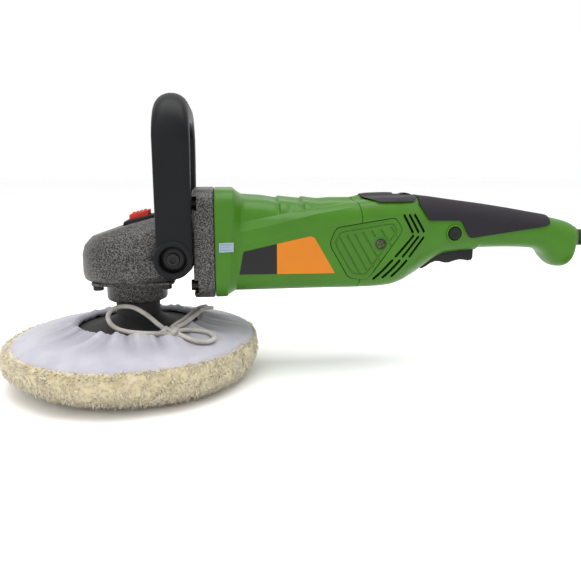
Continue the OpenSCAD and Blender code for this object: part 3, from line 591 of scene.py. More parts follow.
LENS_MM, SENSOR_MM = 37.2, 36.0
CAMERA_AT = (0.06966, -0.49583, 0.17059)
CAMERA_RIGHT, CAMERA_AHEAD = (0.9935, -0.1141, 0), (0.1117, 0.9731, -0.2016)
camera_data = bpy.data.cameras.new("camera")
camera_data.lens = LENS_MM
camera_data.sensor_width = SENSOR_MM
camera_data.clip_start = 0.01
camera = bpy.data.objects.new("camera", camera_data)
bpy.context.scene.collection.objects.link(camera)
right = Vector(CAMERA_RIGHT).normalized()
ahead = Vector(CAMERA_AHEAD).normalized()
above = right.cross(ahead).normalized()
view_frame = Matrix((right, above, -ahead)).transposed().to_4x4()
view_frame.translation = Vector(CAMERA_AT)
camera.matrix_world = view_frame
bpy.context.scene.camera = camera

CORD_D = 8
DROP_ROUTE = [
    (422, 0, 110), (427, 0, 110), (437, 0, 109), (447, 0, 105.8), (457, 0, 100), (466, 0, 92),
    (474, -0.5, 81), (480, -1.5, 69.5), (486, -3.5, 56.5), (492, -7, 42), (498.5, -11.5, 30.2),
    (504.5, -17.5, 22.8), (509, -24.5, 18), (512, -32, 14.9), (513.6, -39, 13.3), (514, -44, 13),
]
TAIL_ROUTE = [
    (421, 7.2, 5), (430, 13.5, 5), (439.5, 20.1, 4.6), (449.5, 27.1, 4.6), (459.5, 34, 5.2),
    (466, 37.6, 6.4), (472.5, 39.8, 7.8), (480, 40.5, 9),
]
COIL_AT = (454, -40)
COIL_OUT_R, COIL_IN_R, COIL_END_R = 60.13, 32.0, 57.6
COIL_TOP_Z, COIL_LOW_Z = 13.0, 5.0
COIL_START, COIL_TURNS = -3.81, 6.642
TOP_TURNS = 3.48
STEPS_PER_TURN = 16


def coil_points():
    """Clockwise turns: inwards on the top layer, then outwards on the layer below."""
    out = []
    steps = round(COIL_TURNS * STEPS_PER_TURN)
    for i in range(1, steps):
        turn = COIL_TURNS * i / steps
        angle = math.radians(COIL_START - 360 * turn)
        if turn < TOP_TURNS:
            r = lerp(COIL_OUT_R, COIL_IN_R, turn / TOP_TURNS)
        else:
            r = lerp(COIL_IN_R, COIL_END_R, (turn - TOP_TURNS) / (COIL_TURNS - TOP_TURNS))
        z = lerp(COIL_TOP_Z, COIL_LOW_Z, smooth(TOP_TURNS - 0.15, TOP_TURNS + 0.1, turn))
        out.append((COIL_AT[0] + r * math.cos(angle), COIL_AT[1] + r * math.sin(angle), z))
    return out


LEAD_ROUTE = DROP_ROUTE + coil_points() + TAIL_ROUTE
lead = curve_object("mains_lead", LEAD_ROUTE, CORD_D / 2, CORD)
settle(lead, ROOT, "black_rubber", "cord_tube", "cord_coil")

# ----------------------------------------------------------- floor and light

FLOOR_Z = -0.4
floor_mat = surface("floor", (253, 253, 253), 0.7, vary=0.01, patch_mm=400, grain_mm=3, bump=0.02)
floor = mesh_object(
    "floor", [(x, y, FLOOR_Z) for x, y in ((-6000, -4000), (6000, -4000), (6000, 9000), (-6000, 9000))],
    [(0, 1, 2, 3)], floor_mat, fix=False,
)
bpy.context.scene.view_settings.view_transform = "Standard"

world = bpy.data.worlds.new("studio")
world.use_nodes = True
world.node_tree.nodes["Background"].inputs["Color"].default_value = (1.0, 1.0, 1.0, 1.0)
world.node_tree.nodes["Background"].inputs["Strength"].default_value = 1.0
bpy.context.scene.world = world

LIGHT_AIM = (0.1, 0, 0.1)
TOP_POWER, FRONT_POWER = 20, 4


def area_light(name, at, size, power):
    """A soft lamp turned towards LIGHT_AIM."""
    data = bpy.data.lights.new(name, "AREA")
    data.shape = "RECTANGLE"
    data.size, data.size_y = size
    data.energy = power
    obj = bpy.data.objects.new(name, data)
    bpy.context.scene.collection.objects.link(obj)
    way = (Vector(LIGHT_AIM) - Vector(at)).normalized()
    obj.matrix_world = Matrix.Translation(Vector(at)) @ way.to_track_quat("-Z", "Y").to_matrix().to_4x4()


area_light("top_soft_light", (0.1, -0.2, 1.5), (1.6, 1.2), TOP_POWER)
area_light("front_soft_light", (-0.6, -1.3, 0.9), (1.0, 1.0), FRONT_POWER)


# ------------------------------------------------------- body shells and skins

BODY_ROWS = [
    # x, bottom, top, half width, side-corner height, squareness
    (84, 73.6, 149.6, 36, 17, 1.0), (93, 73.6, 149, 36, 17, 1.0), (103, 73.7, 148.2, 36, 17, 1.0),
    (110, 73.8, 147, 36, 17, 1.0), (114.5, 73.8, 146.5, 36, 17, 1.0), (115.6, 73.8, 147.7, 36, 17, 1.0),
    (124, 73.9, 146.8, 36, 17, 1.0), (131, 73.9, 146.1, 36, 17, 1.0), (133.8, 73.9, 145.9, 36, 17, 1.0),
    (135, 74, 147.1, 36, 17, 1.0), (142, 74, 146.2, 36, 17, 1.0), (148, 74, 145.6, 36, 17, 1.0),
    (159, 74, 146.2, 36, 17, 1.0), (176, 74, 146.2, 36, 17, 1.0), (183, 74.1, 147.2, 36, 17.5, 0.98),
    (190, 74.2, 148, 36, 18, 0.97), (205, 74.9, 148.4, 35.4, 20, 0.94), (215, 76.8, 148, 33.4, 22, 0.9),
    (225, 80.4, 147.2, 29, 24, 0.88), (235, 86, 146, 24.5, 24, 0.86), (245, 93, 144.8, 21.6, 22, 0.86),
    (256, 98.4, 143.2, 19.8, 20, 0.86), (270, 100.0, 141.3, 19, 18, 0.88),
    (283, 100.6, 139.6, 18.6, 16.8, 0.9), (286.5, 102.6, 139.1, 18.6, 16.6, 0.9),
    (290, 102.8, 138.6, 18.5, 16.5, 0.9), (305, 103, 136.3, 18.4, 15.5, 0.9),
    (320, 102.8, 133.8, 18.5, 14.5, 0.9), (337, 101.6, 130.8, 19, 13.8, 0.9),
    (346, 97.5, 129.3, 19.5, 14.5, 0.9), (352, 90, 128, 20, 16, 0.9), (357.5, 85.8, 126.8, 20, 17, 0.9),
    (363, 85.2, 125.4, 19.8, 17, 0.9), (367, 86.8, 124, 19.2, 16.5, 0.85),
    (369.4, 90.4, 122.8, 18, 15.5, 0.8), (370.6, 95, 121.8, 16.4, 13, 0.8),
    (371.4, 98.6, 120.9, 13.6, 11, 0.9), (372.4, 99.6, 120.3, 11.4, 10.2, 1.0),
    (375.4, 99.8, 120.2, 10.6, 10.1, 1.0), (376.4, 100.6, 119.4, 9.8, 9.3, 1.0),
    (376.9, 101.6, 118.4, 8.8, 8.3, 1.0),
]
LEDGE_ONE = [(80, 120.2), (98.9, 124.8), (114.3, 128.5), (129.8, 132.0), (145.4, 135.1), (165, 138.2),
             (184.6, 141.6), (206.8, 145.0), (240, 147)]
LEDGE_TWO = [(80, 108), (98, 113), (116.6, 117.6), (129.8, 120.6), (153.3, 125.4), (177, 128.4), (209, 131.4),
             (240, 134)]
BAND = 7.0
LOW_CREASE = 87.6
SEAM_X, SEAM_REACH = 178.5, 16.0


def corner_arc(cy, cz, ry, rz, a0, a1, power, n):
    """Part of a squared-off ellipse in Y and Z, between two angles in degrees."""
    out = []
    for i in range(n + 1):
        a = math.radians(lerp(a0, a1, i / n))
        out.append((cy + ry * abs(math.cos(a)) ** power, cz + rz * signed_power(math.sin(a), power)))
    return out


def half_path(x, grow):
    """The section's half outline from the middle of the bottom to the middle of the top."""
    low, high, half, corner, power = table(BODY_ROWS, x)
    grip = smooth(196, 250, x)
    half, low, high = half + grow, low - grow, high + grow
    tall = min(corner + grow, (high - low) / 2 - 0.01)
    wide = min(lerp(corner, half * 0.92, grip) + grow, half - 0.5)
    lower_tall = min(lerp(16.5, corner, grip) + grow, (high - low) / 2 - 0.01)
    path = [(half - wide) * k / 6 for k in range(7)]
    points = [(y, low) for y in path[:-1]]
    points += corner_arc(half - wide, low + lower_tall, wide, lower_tall, -90, 0, power, 26)
    side_low, side_high = low + lower_tall, high - tall
    points += [(half, lerp(side_low, side_high, k / 12)) for k in range(1, 12)]
    points += corner_arc(half - wide, high - tall, wide, tall, 0, 90, power, 26)
    points += [(y, high) for y in path[::-1][1:]]
    return points


def run_lengths(points):
    """The distance along the path at each of its points."""
    sums = [0.0]
    for a, b in zip(points, points[1:]):
        sums.append(sums[-1] + math.hypot(b[0] - a[0], b[1] - a[1]))
    return sums


def resample(points, cuts, counts):
    """Points along the path, with fixed numbers between the given fractions of its length."""
    sums = run_lengths(points)
    out = []
    j = 0
    for c0, c1, n in zip(cuts, cuts[1:], counts):
        for k in range(n):
            s = sums[-1] * lerp(c0, c1, k / n)
            while j < len(sums) - 2 and sums[j + 1] < s:
                j += 1
            t = (s - sums[j]) / max(sums[j + 1] - sums[j], 1e-9)
            out.append((lerp(points[j][0], points[j + 1][0], t), lerp(points[j][1], points[j + 1][1], t)))
    return out + [points[-1]]


def fraction_at(points, z):
    """How far along the path it first rises past z."""
    sums = run_lengths(points)
    for i in range(1, len(points)):
        if points[i][1] >= z > points[i - 1][1]:
            t = (z - points[i - 1][1]) / (points[i][1] - points[i - 1][1])
            return lerp(sums[i - 1], sums[i], t) / sums[-1]
    return 1.0 if z > points[-1][1] else 0.0


COUNTS = (20, 2, 14, 2, 6, 8, 14)


def finger_groove(x, up):
    """The four short notches above the band, where the fingers lie."""
    depth = 0.0
    for at, reach in ((114.2, 0.76), (123.2, 0.3), (133.4, 0.76), (141.6, 0.3)):
        across = min(max((x - at + 3.2) / 3.2, 0.0), 1.0) * (1 - min(max((x - at) / 0.8, 0.0), 1.0))
        depth = max(depth, across * (1 - smooth(reach, reach + 0.12, up)))
    return 0.75 * depth


def body_ring(x, grow=0.0, detail=True):
    """The body's section at x, with its two ledges and the lower crease."""
    low, high = table(BODY_ROWS, x)[:2]
    show = smooth(82, 90, x) * (1 - smooth(206, 236, x)) if detail else 0.0
    step, rise = 2.6 * show, 0.7 * show
    crease = 0.5 * show
    path = half_path(x, grow)
    top = high + grow
    levels = [LOW_CREASE, LOW_CREASE + 1.2]
    two = table(LEDGE_TWO, x)[0]
    one = table(LEDGE_ONE, x)[0]
    levels += [two - 0.4, two + 0.4, one, one + BAND]
    marks, floor_at = [0.0], 0.0
    for i, z in enumerate(levels):
        z = min(max(z, low - grow + 3), top - 2.2 + 0.35 * i)
        f = max(fraction_at(path, z), floor_at + 0.015)
        marks.append(f)
        floor_at = f
    over = marks[-1] - 0.97
    if over > 0:
        marks = [m if m < 0.5 else m - over * (m - 0.5) / (marks[-1] - 0.5) for m in marks]
    marks.append(1.0)
    pts = resample(path, marks, COUNTS)
    starts = [sum(COUNTS[:k]) for k in range(len(COUNTS) + 1)]
    out = []
    n = len(pts)
    for i, (y, z) in enumerate(pts):
        a, b = pts[max(i - 1, 0)], pts[min(i + 1, n - 1)]
        ty, tz = b[0] - a[0], b[1] - a[1]
        size = math.hypot(ty, tz) or 1
        ny, nz = tz / size, -ty / size
        if i < starts[1]:
            d = 0.0
        elif i < starts[2]:
            d = crease * (i - starts[1]) / (starts[2] - starts[1])
        elif i < starts[3]:
            d = crease
        elif i < starts[4]:
            d = lerp(crease, crease + rise, (i - starts[3]) / (starts[4] - starts[3]))
        elif i <= starts[5]:
            d = crease + rise
        elif i <= starts[6]:
            d = lerp(crease + rise, -step, (i - starts[5]) / (starts[6] - starts[5]))
        else:
            up = (i - starts[6]) / (n - 1 - starts[6])
            d = -step * (1 - smooth(0.55, 1, up)) - finger_groove(x, up) * show
        out.append((y + ny * d, z + nz * d))
    near = [(x, -y, z) for y, z in out]
    far = [(x, y, z) for y, z in out[::-1]][1:-1]
    return near + far


def seam_shift(z):
    """The seam leans forward near the top."""
    return -2.6 * smooth(132, 148, z) - 0.8 * (1 - smooth(76, 92, z))


def body_rings(stations, grow=0.0, seam=None, detail=True):
    """Sections of the body at the stations; those near the seam lean with it."""
    rings = []
    for x in stations:
        ring = body_ring(x, grow, detail)
        if seam is not None:
            w = max(0.0, 1 - abs(x - seam) / SEAM_REACH)
            ring = [(px + seam_shift(pz) * w, py, pz) for px, py, pz in ring]
        rings.append(ring)
    return rings


def spaced(lo, hi, step):
    n = max(1, round((hi - lo) / step))
    return [lerp(lo, hi, i / n) for i in range(n + 1)]


# Heights where the square sections are split, so that their points meet those of the barrel
RING_LEVELS = (88, 89.5, 112, 113.2, 122, 130)


def square_ring(x, half, r):
    """A rounded square with as many points as a body section, from the bottom middle."""
    low, high, flat = HEAD_Z - half, HEAD_Z + half, half - r
    path = [(0, low), (flat / 2, low)]
    path += corner_arc(flat, low + r, r, r, -90, 0, 1.0, 14)
    path += corner_arc(flat, high - r, r, r, 0, 90, 1.0, 14)
    path += [(flat / 2, high), (0, high)]
    marks = [0.0] + [fraction_at(path, z) for z in RING_LEVELS] + [1.0]
    pts = resample(path, marks, COUNTS)
    return [(x, -y, z) for y, z in pts] + [(x, y, z) for y, z in pts[::-1]][1:-1]


HEX = [(153, 111.5), (158.4, 124.2), (205.4, 131.4), (212, 121.6), (184, 82.6), (169, 84.2)]
HEX_R = [5, 4, 2.5, 4, 4, 4]
COVER_GAP = 0.45
POCKET = rounded_outline(inset_outline(HEX[::-1], -COVER_GAP), HEX_R[::-1])


def lean_back(rings):
    """The shoulder behind the mounting ring slopes: its lower end lies further forward."""
    for ring in rings:
        for i, (x, y, z) in enumerate(ring):
            lean = 6.5 * smooth(66, 78, x) * (1 - smooth(88, 104, x))
            ring[i] = (x - lean * (1 - (z - 70.5) / 84), y, z)


def make_motor_housing():
    rings = [square_ring(x, half, r) for x, half, r in (
        (64.2, 40.9, 12.4), (64.5, 41.4, 12.8), (65.2, 41.7, 13), (78.6, 41.7, 13), (79.8, 41.3, 13),
        (80.8, 40.4, 13.4))]
    first, last = body_ring(86.2), rings[-1]
    for t in (0.25, 0.5, 0.75):
        rings.append([tuple(lerp(a, b, t) for a, b in zip(p, q)) for p, q in zip(last, first)])
    stations = [86.2] + spaced(87.4, 110, 1.6) + spaced(111, 150, 0.8)
    stations += spaced(151.5, SEAM_X - 1, 1.7) + [SEAM_X]
    rings += body_rings(stations, seam=SEAM_X)
    lean_back(rings)
    obj = mesh_object("motor_housing_shell", *rings_mesh(rings), GREEN)
    inner = [square_ring(x, 38.5, 11) for x in (60, 79)]
    barrel = body_rings(spaced(89, SEAM_X + 3, 8), grow=-3.2, detail=False)
    for ring in barrel:
        # more wall at the top, below the finger notches
        for i, (x, y, z) in enumerate(ring):
            if z > 118:
                ring[i] = (x, y * 0.93, z - 1.5 - 1.0 * smooth(10, 26, abs(y)))
    inner += barrel
    lean_back(inner)
    pockets = [prism_part(POCKET, side * 29, side * 46) for side in SIDES]
    boolean(obj, [cutter(rings_mesh(inner)), cutter(*pockets)])
    shade(obj, 19)
    settle(obj, ROOT, "green_plastic", "motor_housing")


VENTS = (
    [((213.2 + 5.1 * i, 133.0), (221.4 + 5.5 * i, 119.4)) for i in range(3)]
    + [((222.0 + 5.1 * i, 116.4 - i), (206.8 + 6.2 * i, 101.0 - 0.4 * i)) for i in range(3)]
    + [((203.9 + 6.2 * i, 97.7 - 0.4 * i), (189.6 + 7.4 * i, 83.0 + 1.0 * i)) for i in range(3)]
)


SLOT_R = 1.1


def slot_part(a, b, y0, y1):
    """A slot with round ends between two points in X and Z."""
    heading = math.atan2(b[1] - a[1], b[0] - a[0])
    outline = []
    for (x, z), base in ((a, 90), (b, -90)):
        for k in range(7):
            t = heading + math.radians(base + 180 * k / 6)
            outline.append((x + SLOT_R * math.cos(t), z + SLOT_R * math.sin(t)))
    return prism_part(outline, y0, y1)


def make_rear_housing():
    stations = [SEAM_X + 0.5] + spaced(SEAM_X + 2, 262, 1.6) + spaced(265, 281, 4) + spaced(282, 290, 1)
    stations += spaced(293, 333, 4) + spaced(335, 368, 1.6)
    stations += [369.4, 370.2, 370.8, 371.4, 372, 372.6, 374, 375.4, 376.0, 376.4, 376.7, 376.9]
    rings = body_rings(stations, seam=SEAM_X + 0.5)
    tail = rings[-1]
    mid = sum((Vector(p) for p in tail), Vector()) / len(tail)
    for shrink in (0.9, 0.6):
        rings.append([(p[0] + 0.1, lerp(mid.y, p[1], shrink), lerp(mid.z, p[2], shrink)) for p in tail])
    shell = mesh_object("rear_shell", *rings_mesh(rings), GREEN)
    inner = body_rings(spaced(SEAM_X - 3, 366, 6) + [368.6], grow=-2.7, detail=False)
    cutters = [cutter(rings_mesh(inner))]
    for y0, y1 in ((-60, -12.0), (12.0, 60)):
        cutters.append(cutter(*[slot_part(a, b, y0, y1) for a, b in VENTS]))
    cutters.append(cutter(prism_part(POCKET, -46, -27), prism_part(POCKET, 27, 46)))
    cutters.append(cutter(box_part((236.2, -9.6, 78), (283.4, 9.6, 108))))
    cutters.append(cutter(rod(5.7, 14, 40, (0, -1, 0), (LOCK_ON_AT[0], -10, LOCK_ON_AT[1]))))
    cutters.append(cutter(box_part((211.2, -3.6, 139), (232.8, 3.6, 156))))
    relief = [(0, 0), (7.9, 0), (7.9, 9), (7.2, 9), (7.2, 20), (0, 20)]
    cutters.append(cutter(turned(relief, 40, on_axis(X, (366.8, 0, CORD_Z)))))
    boolean(shell, cutters)
    screws = [(238, 124, 21.5), (298, 121, 17), (338, 116, 17.5), (362, 98, 17.5)]
    for side, word, y0, y1 in ((-1, "left", -80, -0.1), (1, "right", 0.1, 80)):
        half = bpy.data.objects.new(f"rear_housing_{word}_shell", shell.data.copy())
        half.data.name = half.name
        bpy.context.scene.collection.objects.link(half)
        boolean(half, [cutter(box_part((150, y0, 40), (420, y1, 200)))], "INTERSECT")
        if side > 0:
            boolean(half, [cutter(*[rod(3.7, 30, 28, Y, (x, y - 1.8, z)) for x, z, y in screws])])
        shade(half, 32)
        settle(half, ROOT, "green_plastic", "rear_housing_" + word)
    remove(shell)


def skin(name, outlines, material, slot, nodes, x0, x1, notch=None):
    """Layers that lie on the rear housing: each outline in X and Z, with how far it stands out."""
    made = []
    for outline, out in outlines:
        piece = mesh_object(name, *rings_mesh(body_rings(spaced(x0, x1, 1.6), grow=out)), material)
        boolean(piece, [cutter(rings_mesh(body_rings(spaced(x0 - 4, x1 + 4, 1.6), grow=-1.0)))])
        boolean(piece, [cutter(prism_part(outline, -60, 60))], "INTERSECT")
        made.append(piece)
    first = made[0]
    if len(made) > 1:
        boolean(first, made[1:], "UNION")
    if notch:
        boolean(first, [cutter(box_part(*notch))])
    shade(first, 30)
    settle(first, ROOT, slot, *nodes)


def make_vent_shade_sheets():
    """A black sheet inside the wall, behind the air slots: painted shade that shows through them."""
    rings, core = [body_rings(spaced(x0, x1, 2), grow=grow, detail=False)
                   for x0, x1, grow in ((184, 246, -2.75), (180, 250, -3.3))]
    shade_sheet = mesh_object("vent_shade_sheets", *rings_mesh(rings), BLACK)
    outline = [(186, 79), (206, 78), (246, 94), (246, 136), (212, 138), (210.5, 131), (216.5, 121), (200, 97)]
    boolean(shade_sheet, [cutter(rings_mesh(core))])
    boolean(shade_sheet, [cutter(prism_part(outline, -60, -9), prism_part(outline, 9, 60))], "INTERSECT")
    shade(shade_sheet, 30)
    settle(shade_sheet, ROOT, "black_plastic")


def make_skins():
    panel = [(183.4, 147.0), (193, 143.8), (224.6, 143.6), (227.4, 145.0), (229.0, 147.6), (228.6, 156),
             (186, 156)]
    skin("top_panel_skin", [(rounded_outline(panel[::-1], 2.0), 1.7)], PANEL, "black_plastic",
         ["top_panel"], 178, 242, ((211.4, -3.5, 139), (232.6, 3.5, 156)))
    grip = [(234.0, 156), (233.0, 146.4), (231.6, 141.6), (238.8, 130.2), (267.6, 129.8), (275.4, 115.0),
            (338, 124.0), (342.6, 125.6), (343.8, 130), (343.8, 142)]
    radii = [1, 1, 1.5, 3, 3, 2.5, 2, 1.5, 2, 1]
    outer = rounded_outline(grip[::-1], radii)
    inner = rounded_outline(inset_outline(grip[::-1], 2.4), radii)
    skin("rubber_grip_skin", [(outer, 0.7), (inner, 1.5)], GRIP, "soft_rubber", ["rubber_grip"], 226, 352)


RIB_LINES = [(160.1, 118.3, 177.6, 87.6), (166.7, 118.7, 183.0, 90.6), (172.8, 119.4, 188.2, 92.6),
             (179.2, 120.6, 194.2, 96.4), (186.2, 121.6, 189.4, 117.2), (193.8, 122.6, 202.4, 109.4),
             (201.6, 124.6, 208.6, 114.4)]


def make_brush_covers():
    # (inset from the outline, depth below the face) over the plate's rounded edge and its inner groove
    profile = [(0, 3.2), (0.0, 0.7), (0.15, 0.3), (0.5, 0.05), (1.0, 0), (3.4, 0), (3.6, 0.55), (4.1, 0.6),
               (4.3, 0.55), (4.5, 0.0), (4.9, -0.25), (5.0, -0.25)]
    parts, cutters = [], []
    for side in SIDES:
        rings = []
        for d, depth in profile:
            # each corner's radius stays above its inset
            radii = [max(r, 1.4 * d + 1.0) for r in HEX_R[::-1]]
            outline = inset_outline(rounded_outline(HEX[::-1], radii, 4), d)
            rings.append([(x, side * (36.4 - depth), z) for x, z in outline])
        parts.append(rings_mesh(rings))
        recess = [(0, 0), (4.6, 0), (4.6, 1.5), (6.0, 1.5), (6.4, 6), (0, 6)]
        cutters.append(cutter(turned(recess, 36, side_axis(side, COVER_SCREW_AT, 34.6 * side))))
        for x0, z0, x1, z1 in RIB_LINES:
            turn = Matrix.Rotation(-math.atan2(z1 - z0, x1 - x0), 4, "Y")
            place = Matrix.Translation(Vector(((x0 + x1) / 2, 0, (z0 + z1) / 2))) @ turn
            long = math.hypot(x1 - x0, z1 - z0) / 2
            low, high = sorted((35.85 * side, 38 * side))
            cutters.append(cutter(box_part((-long, low, -0.7), (long, high, 0.7), place)))
    obj = merge("brush_cover_plates", parts, GREEN_PANEL)
    boolean(obj, cutters)
    shade(obj, 30)
    settle(obj, ROOT, "green_plastic", "brush_covers")


def make_labels():
    dark = [(82.6, 88.9), (86, 106.6), (111.7, 112.3), (111.7, 88.8)]
    orange = [(111.9, 88.8), (111.9, 112.4), (138.2, 118.0), (141.4, 116.6), (157.6, 88.6)]
    for name, outline, mat, nodes in (("label_dark", dark, LABEL_DARK, ["side_labels"]),
                                      ("label_orange", orange, LABEL_ORANGE, [])):
        outer = rounded_outline(outline[::-1], 0.5, 2)
        obj = merge(name, [prism_part(outer, side * 36.2, side * 36.75) for side in SIDES], mat)
        settle(obj, ROOT, "label", *nodes)
    film = rounded_outline([(78.4, 107.4), (78.4, 114.6), (67.4, 114.2), (67.4, 107.0)], 0.4, 2)
    settle(mesh_object("silver_sticker", *prism_part(film, -41.98, -41.6), SILVER), ROOT,
           "silver_label", "info_sticker")
    bars = [box_part((68.4, -42.0, z), (x, -41.9, z + h)) for x, z, h in
            ((77.2, 112.2, 1.2), (75.0, 110.4, 0.8), (77.2, 108.4, 0.9))]
    settle(merge("silver_sticker_print", bars, SILVER_DARK), ROOT, "silver_label")


make_motor_housing()
make_rear_housing()
make_skins()
make_brush_covers()
make_labels()
make_vent_shade_sheets()

# ------------------------------------------------------------------ gear head


def ball_cloud(centre, r):
    """Points on a small ball, for rounding the corners of a convex body."""
    levels, around = 4, 10
    out = []
    for i in range(levels + 1):
        a = math.pi * (i / levels - 0.5)
        for k in range(around):
            b = 2 * math.pi * k / around
            out.append((centre[0] + r * math.cos(a) * math.cos(b), centre[1] + r * math.cos(a) * math.sin(b),
                        centre[2] + r * math.sin(a)))
    return out


def ring_cloud(radius, z, r):
    """Points on the outer half of a torus, for rounding a round body's edge."""
    n = 96
    out = []
    for k in range(n):
        b = 2 * math.pi * k / n
        for i in range(7):
            a = math.pi * (i / 6 - 0.5)
            rr = radius - r + r * math.cos(a)
            out.append((rr * math.cos(b), rr * math.sin(b), z + r * math.sin(a)))
    return out


def convex(name, points, material):
    """The convex body round all the points."""
    bm = bmesh.new()
    for p in points:
        bm.verts.new([c * MM for c in p])
    done = bmesh.ops.convex_hull(bm, input=bm.verts)
    inside = [v for v in done["geom_interior"] if isinstance(v, bmesh.types.BMVert)]
    bmesh.ops.delete(bm, geom=inside, context="VERTS")
    bmesh.ops.remove_doubles(bm, verts=bm.verts, dist=1e-6)
    bmesh.ops.dissolve_limit(bm, angle_limit=math.radians(1.5), verts=bm.verts, edges=bm.edges)
    bmesh.ops.triangulate(bm, faces=[f for f in bm.faces if len(f.verts) > 4])
    bmesh.ops.recalc_face_normals(bm, faces=bm.faces)
    me = bpy.data.meshes.new(name)
    bm.to_mesh(me)
    bm.free()
    return placed(name, me, material, 40)





def make_gear_head():
    cloud = []
    for radius, z, r in ((40.7, 85.2, 2.0), (41.4, 89, 2.4), (41.2, 103, 2.5), (39.6, 108.5, 3.0),
                         (35.2, 112.8, 4.5)):
        cloud += ring_cloud(radius, z, r)
    for y in (-22, 22):
        for x, wide, z, r in ((-19.0, 0.86, 116.4, 4.5), (-2, 0.98, 122.2, 4.5), (15, 1.02, 126.8, 4.5),
                              (44, 1.02, 126.8, 4.5), (22, 1.64, 122.5, 5.0), (22, 1.72, 92, 3.2),
                              (44.5, 1.64, 122.5, 5.0), (44.5, 1.72, 96.5, 3.2)):
            cloud += ball_cloud((x, y * wide, z), r)
    body = convex("gear_case", cloud, HAMMER)
    tools = [
        rod(26.95, 6, 72, Z, (0, 0, 81)),
        rod(29, 29.2, 72, Z, (0, 0, 84.5)),
        box_part((-5.4, -8.6, 121.3), (14.2, 8.6, 150)),
        rod(9.05, 8.1, 40, X, (30, 0, INTER_Z)),
        rod(4.9, 30, 32, X, (24, 0, INTER_Z)),
        rod(2.27, 20, 24, Z, (10.5, 0, 112)),
        rod(7.5, 6.6, 32, Z, (0, 0, 112.6)),
    ]
    tools += [rod(5.05, 9, 32, (0, side, 0), (PIVOT[0], 34.5 * side, PIVOT[1])) for side in SIDES]
    boolean(body, [cutter(tool) for tool in tools])
    settle(body, ROOT, "hammertone_paint", "gear_housing")


def make_collar():
    profile = [(0, 64.2), (19.0, 64.2), (21.6, 64.5), (23.4, 65.5), (24.2, 67.2), (24.2, 78.6), (24.8, 79.8),
               (26, 80.4), (26, 82), (0, 82)]
    base = rounded_outline([(-32, -32), (32, -32), (32, 32), (-32, 32)], 11, 6)
    flange = [[(x, y, z) for x, y in inset_outline(base, d)] for d, z in
              ((1.2, 80.3), (0.3, 80.5), (0, 81.0), (0, 82.4), (0.3, 82.8), (0.7, 82.95))]
    collar = merge("bearing_collar_casting", [turned(profile, 96)], HAMMER)
    boolean(collar, [cutter(rings_mesh(flange))], "UNION")
    boolean(collar, [cutter(rod(r, h, n, Z, (0, 0, z))) for r, h, n, z in
                     ((12, 10, 48, 60), (17.56, 11.2, 64, 68), (20, 10, 64, 79))])
    shade(collar, 32)
    settle(collar, ROOT, "hammertone_paint", "bearing_collar")


def make_plate():
    rings = [square_ring(x, half, r) for x, half, r in (
        (48.0, 40.6, 12.2), (48.4, 41.4, 12.8), (49.2, 41.9, 13), (62.6, 41.9, 13), (63.4, 41.6, 13),
        (63.9, 41.0, 12.6))]
    plate = mesh_object("gearbox_plate_casting", *rings_mesh(rings), HAMMER)
    tools = [rod(15, 11, 56, X, (47, 0, INTER_Z)), rod(7, 11, 40, X, (47, 0, MOTOR_Z)),
             rod(9.56, 10, 48, X, (57.5, 0, MOTOR_Z))]
    for sy, sz in CORNERS:
        y, z = PLATE_SCREW * sy, HEAD_Z + PLATE_SCREW * sz
        tools += [rod(5.6, 4.2, 32, X, (47.0, y, z)), rod(2.2, 20, 20, X, (46, y, z))]
    for sy, sz in CORNERS:
        low, high = sorted((PLATE_SCREW * sy, 44 * sy))
        mid = HEAD_Z + PLATE_SCREW * sz
        tools.append(box_part((45, low, mid - 5.2), (51.2, high, mid + 5.2)))
    boolean(plate, [cutter(tool) for tool in tools])
    shade(plate, 32)
    settle(plate, ROOT, "hammertone_paint", "gearbox_plate")


def cap_screw(at, axis, head_r, head_h, shank_r, length, socket_r):
    """A cap screw: its head stands along the axis from the point, with a round socket."""
    return turned([
        (0, -length), (shank_r * 0.8, -length), (shank_r, -length + 0.6), (shank_r, 0), (head_r - 0.3, 0),
        (head_r, 0.3), (head_r, head_h - 0.5), (head_r - 0.5, head_h), (socket_r, head_h),
        (socket_r, head_h - 1.8), (0, head_h - 1.8)], 36, on_axis(axis, at))


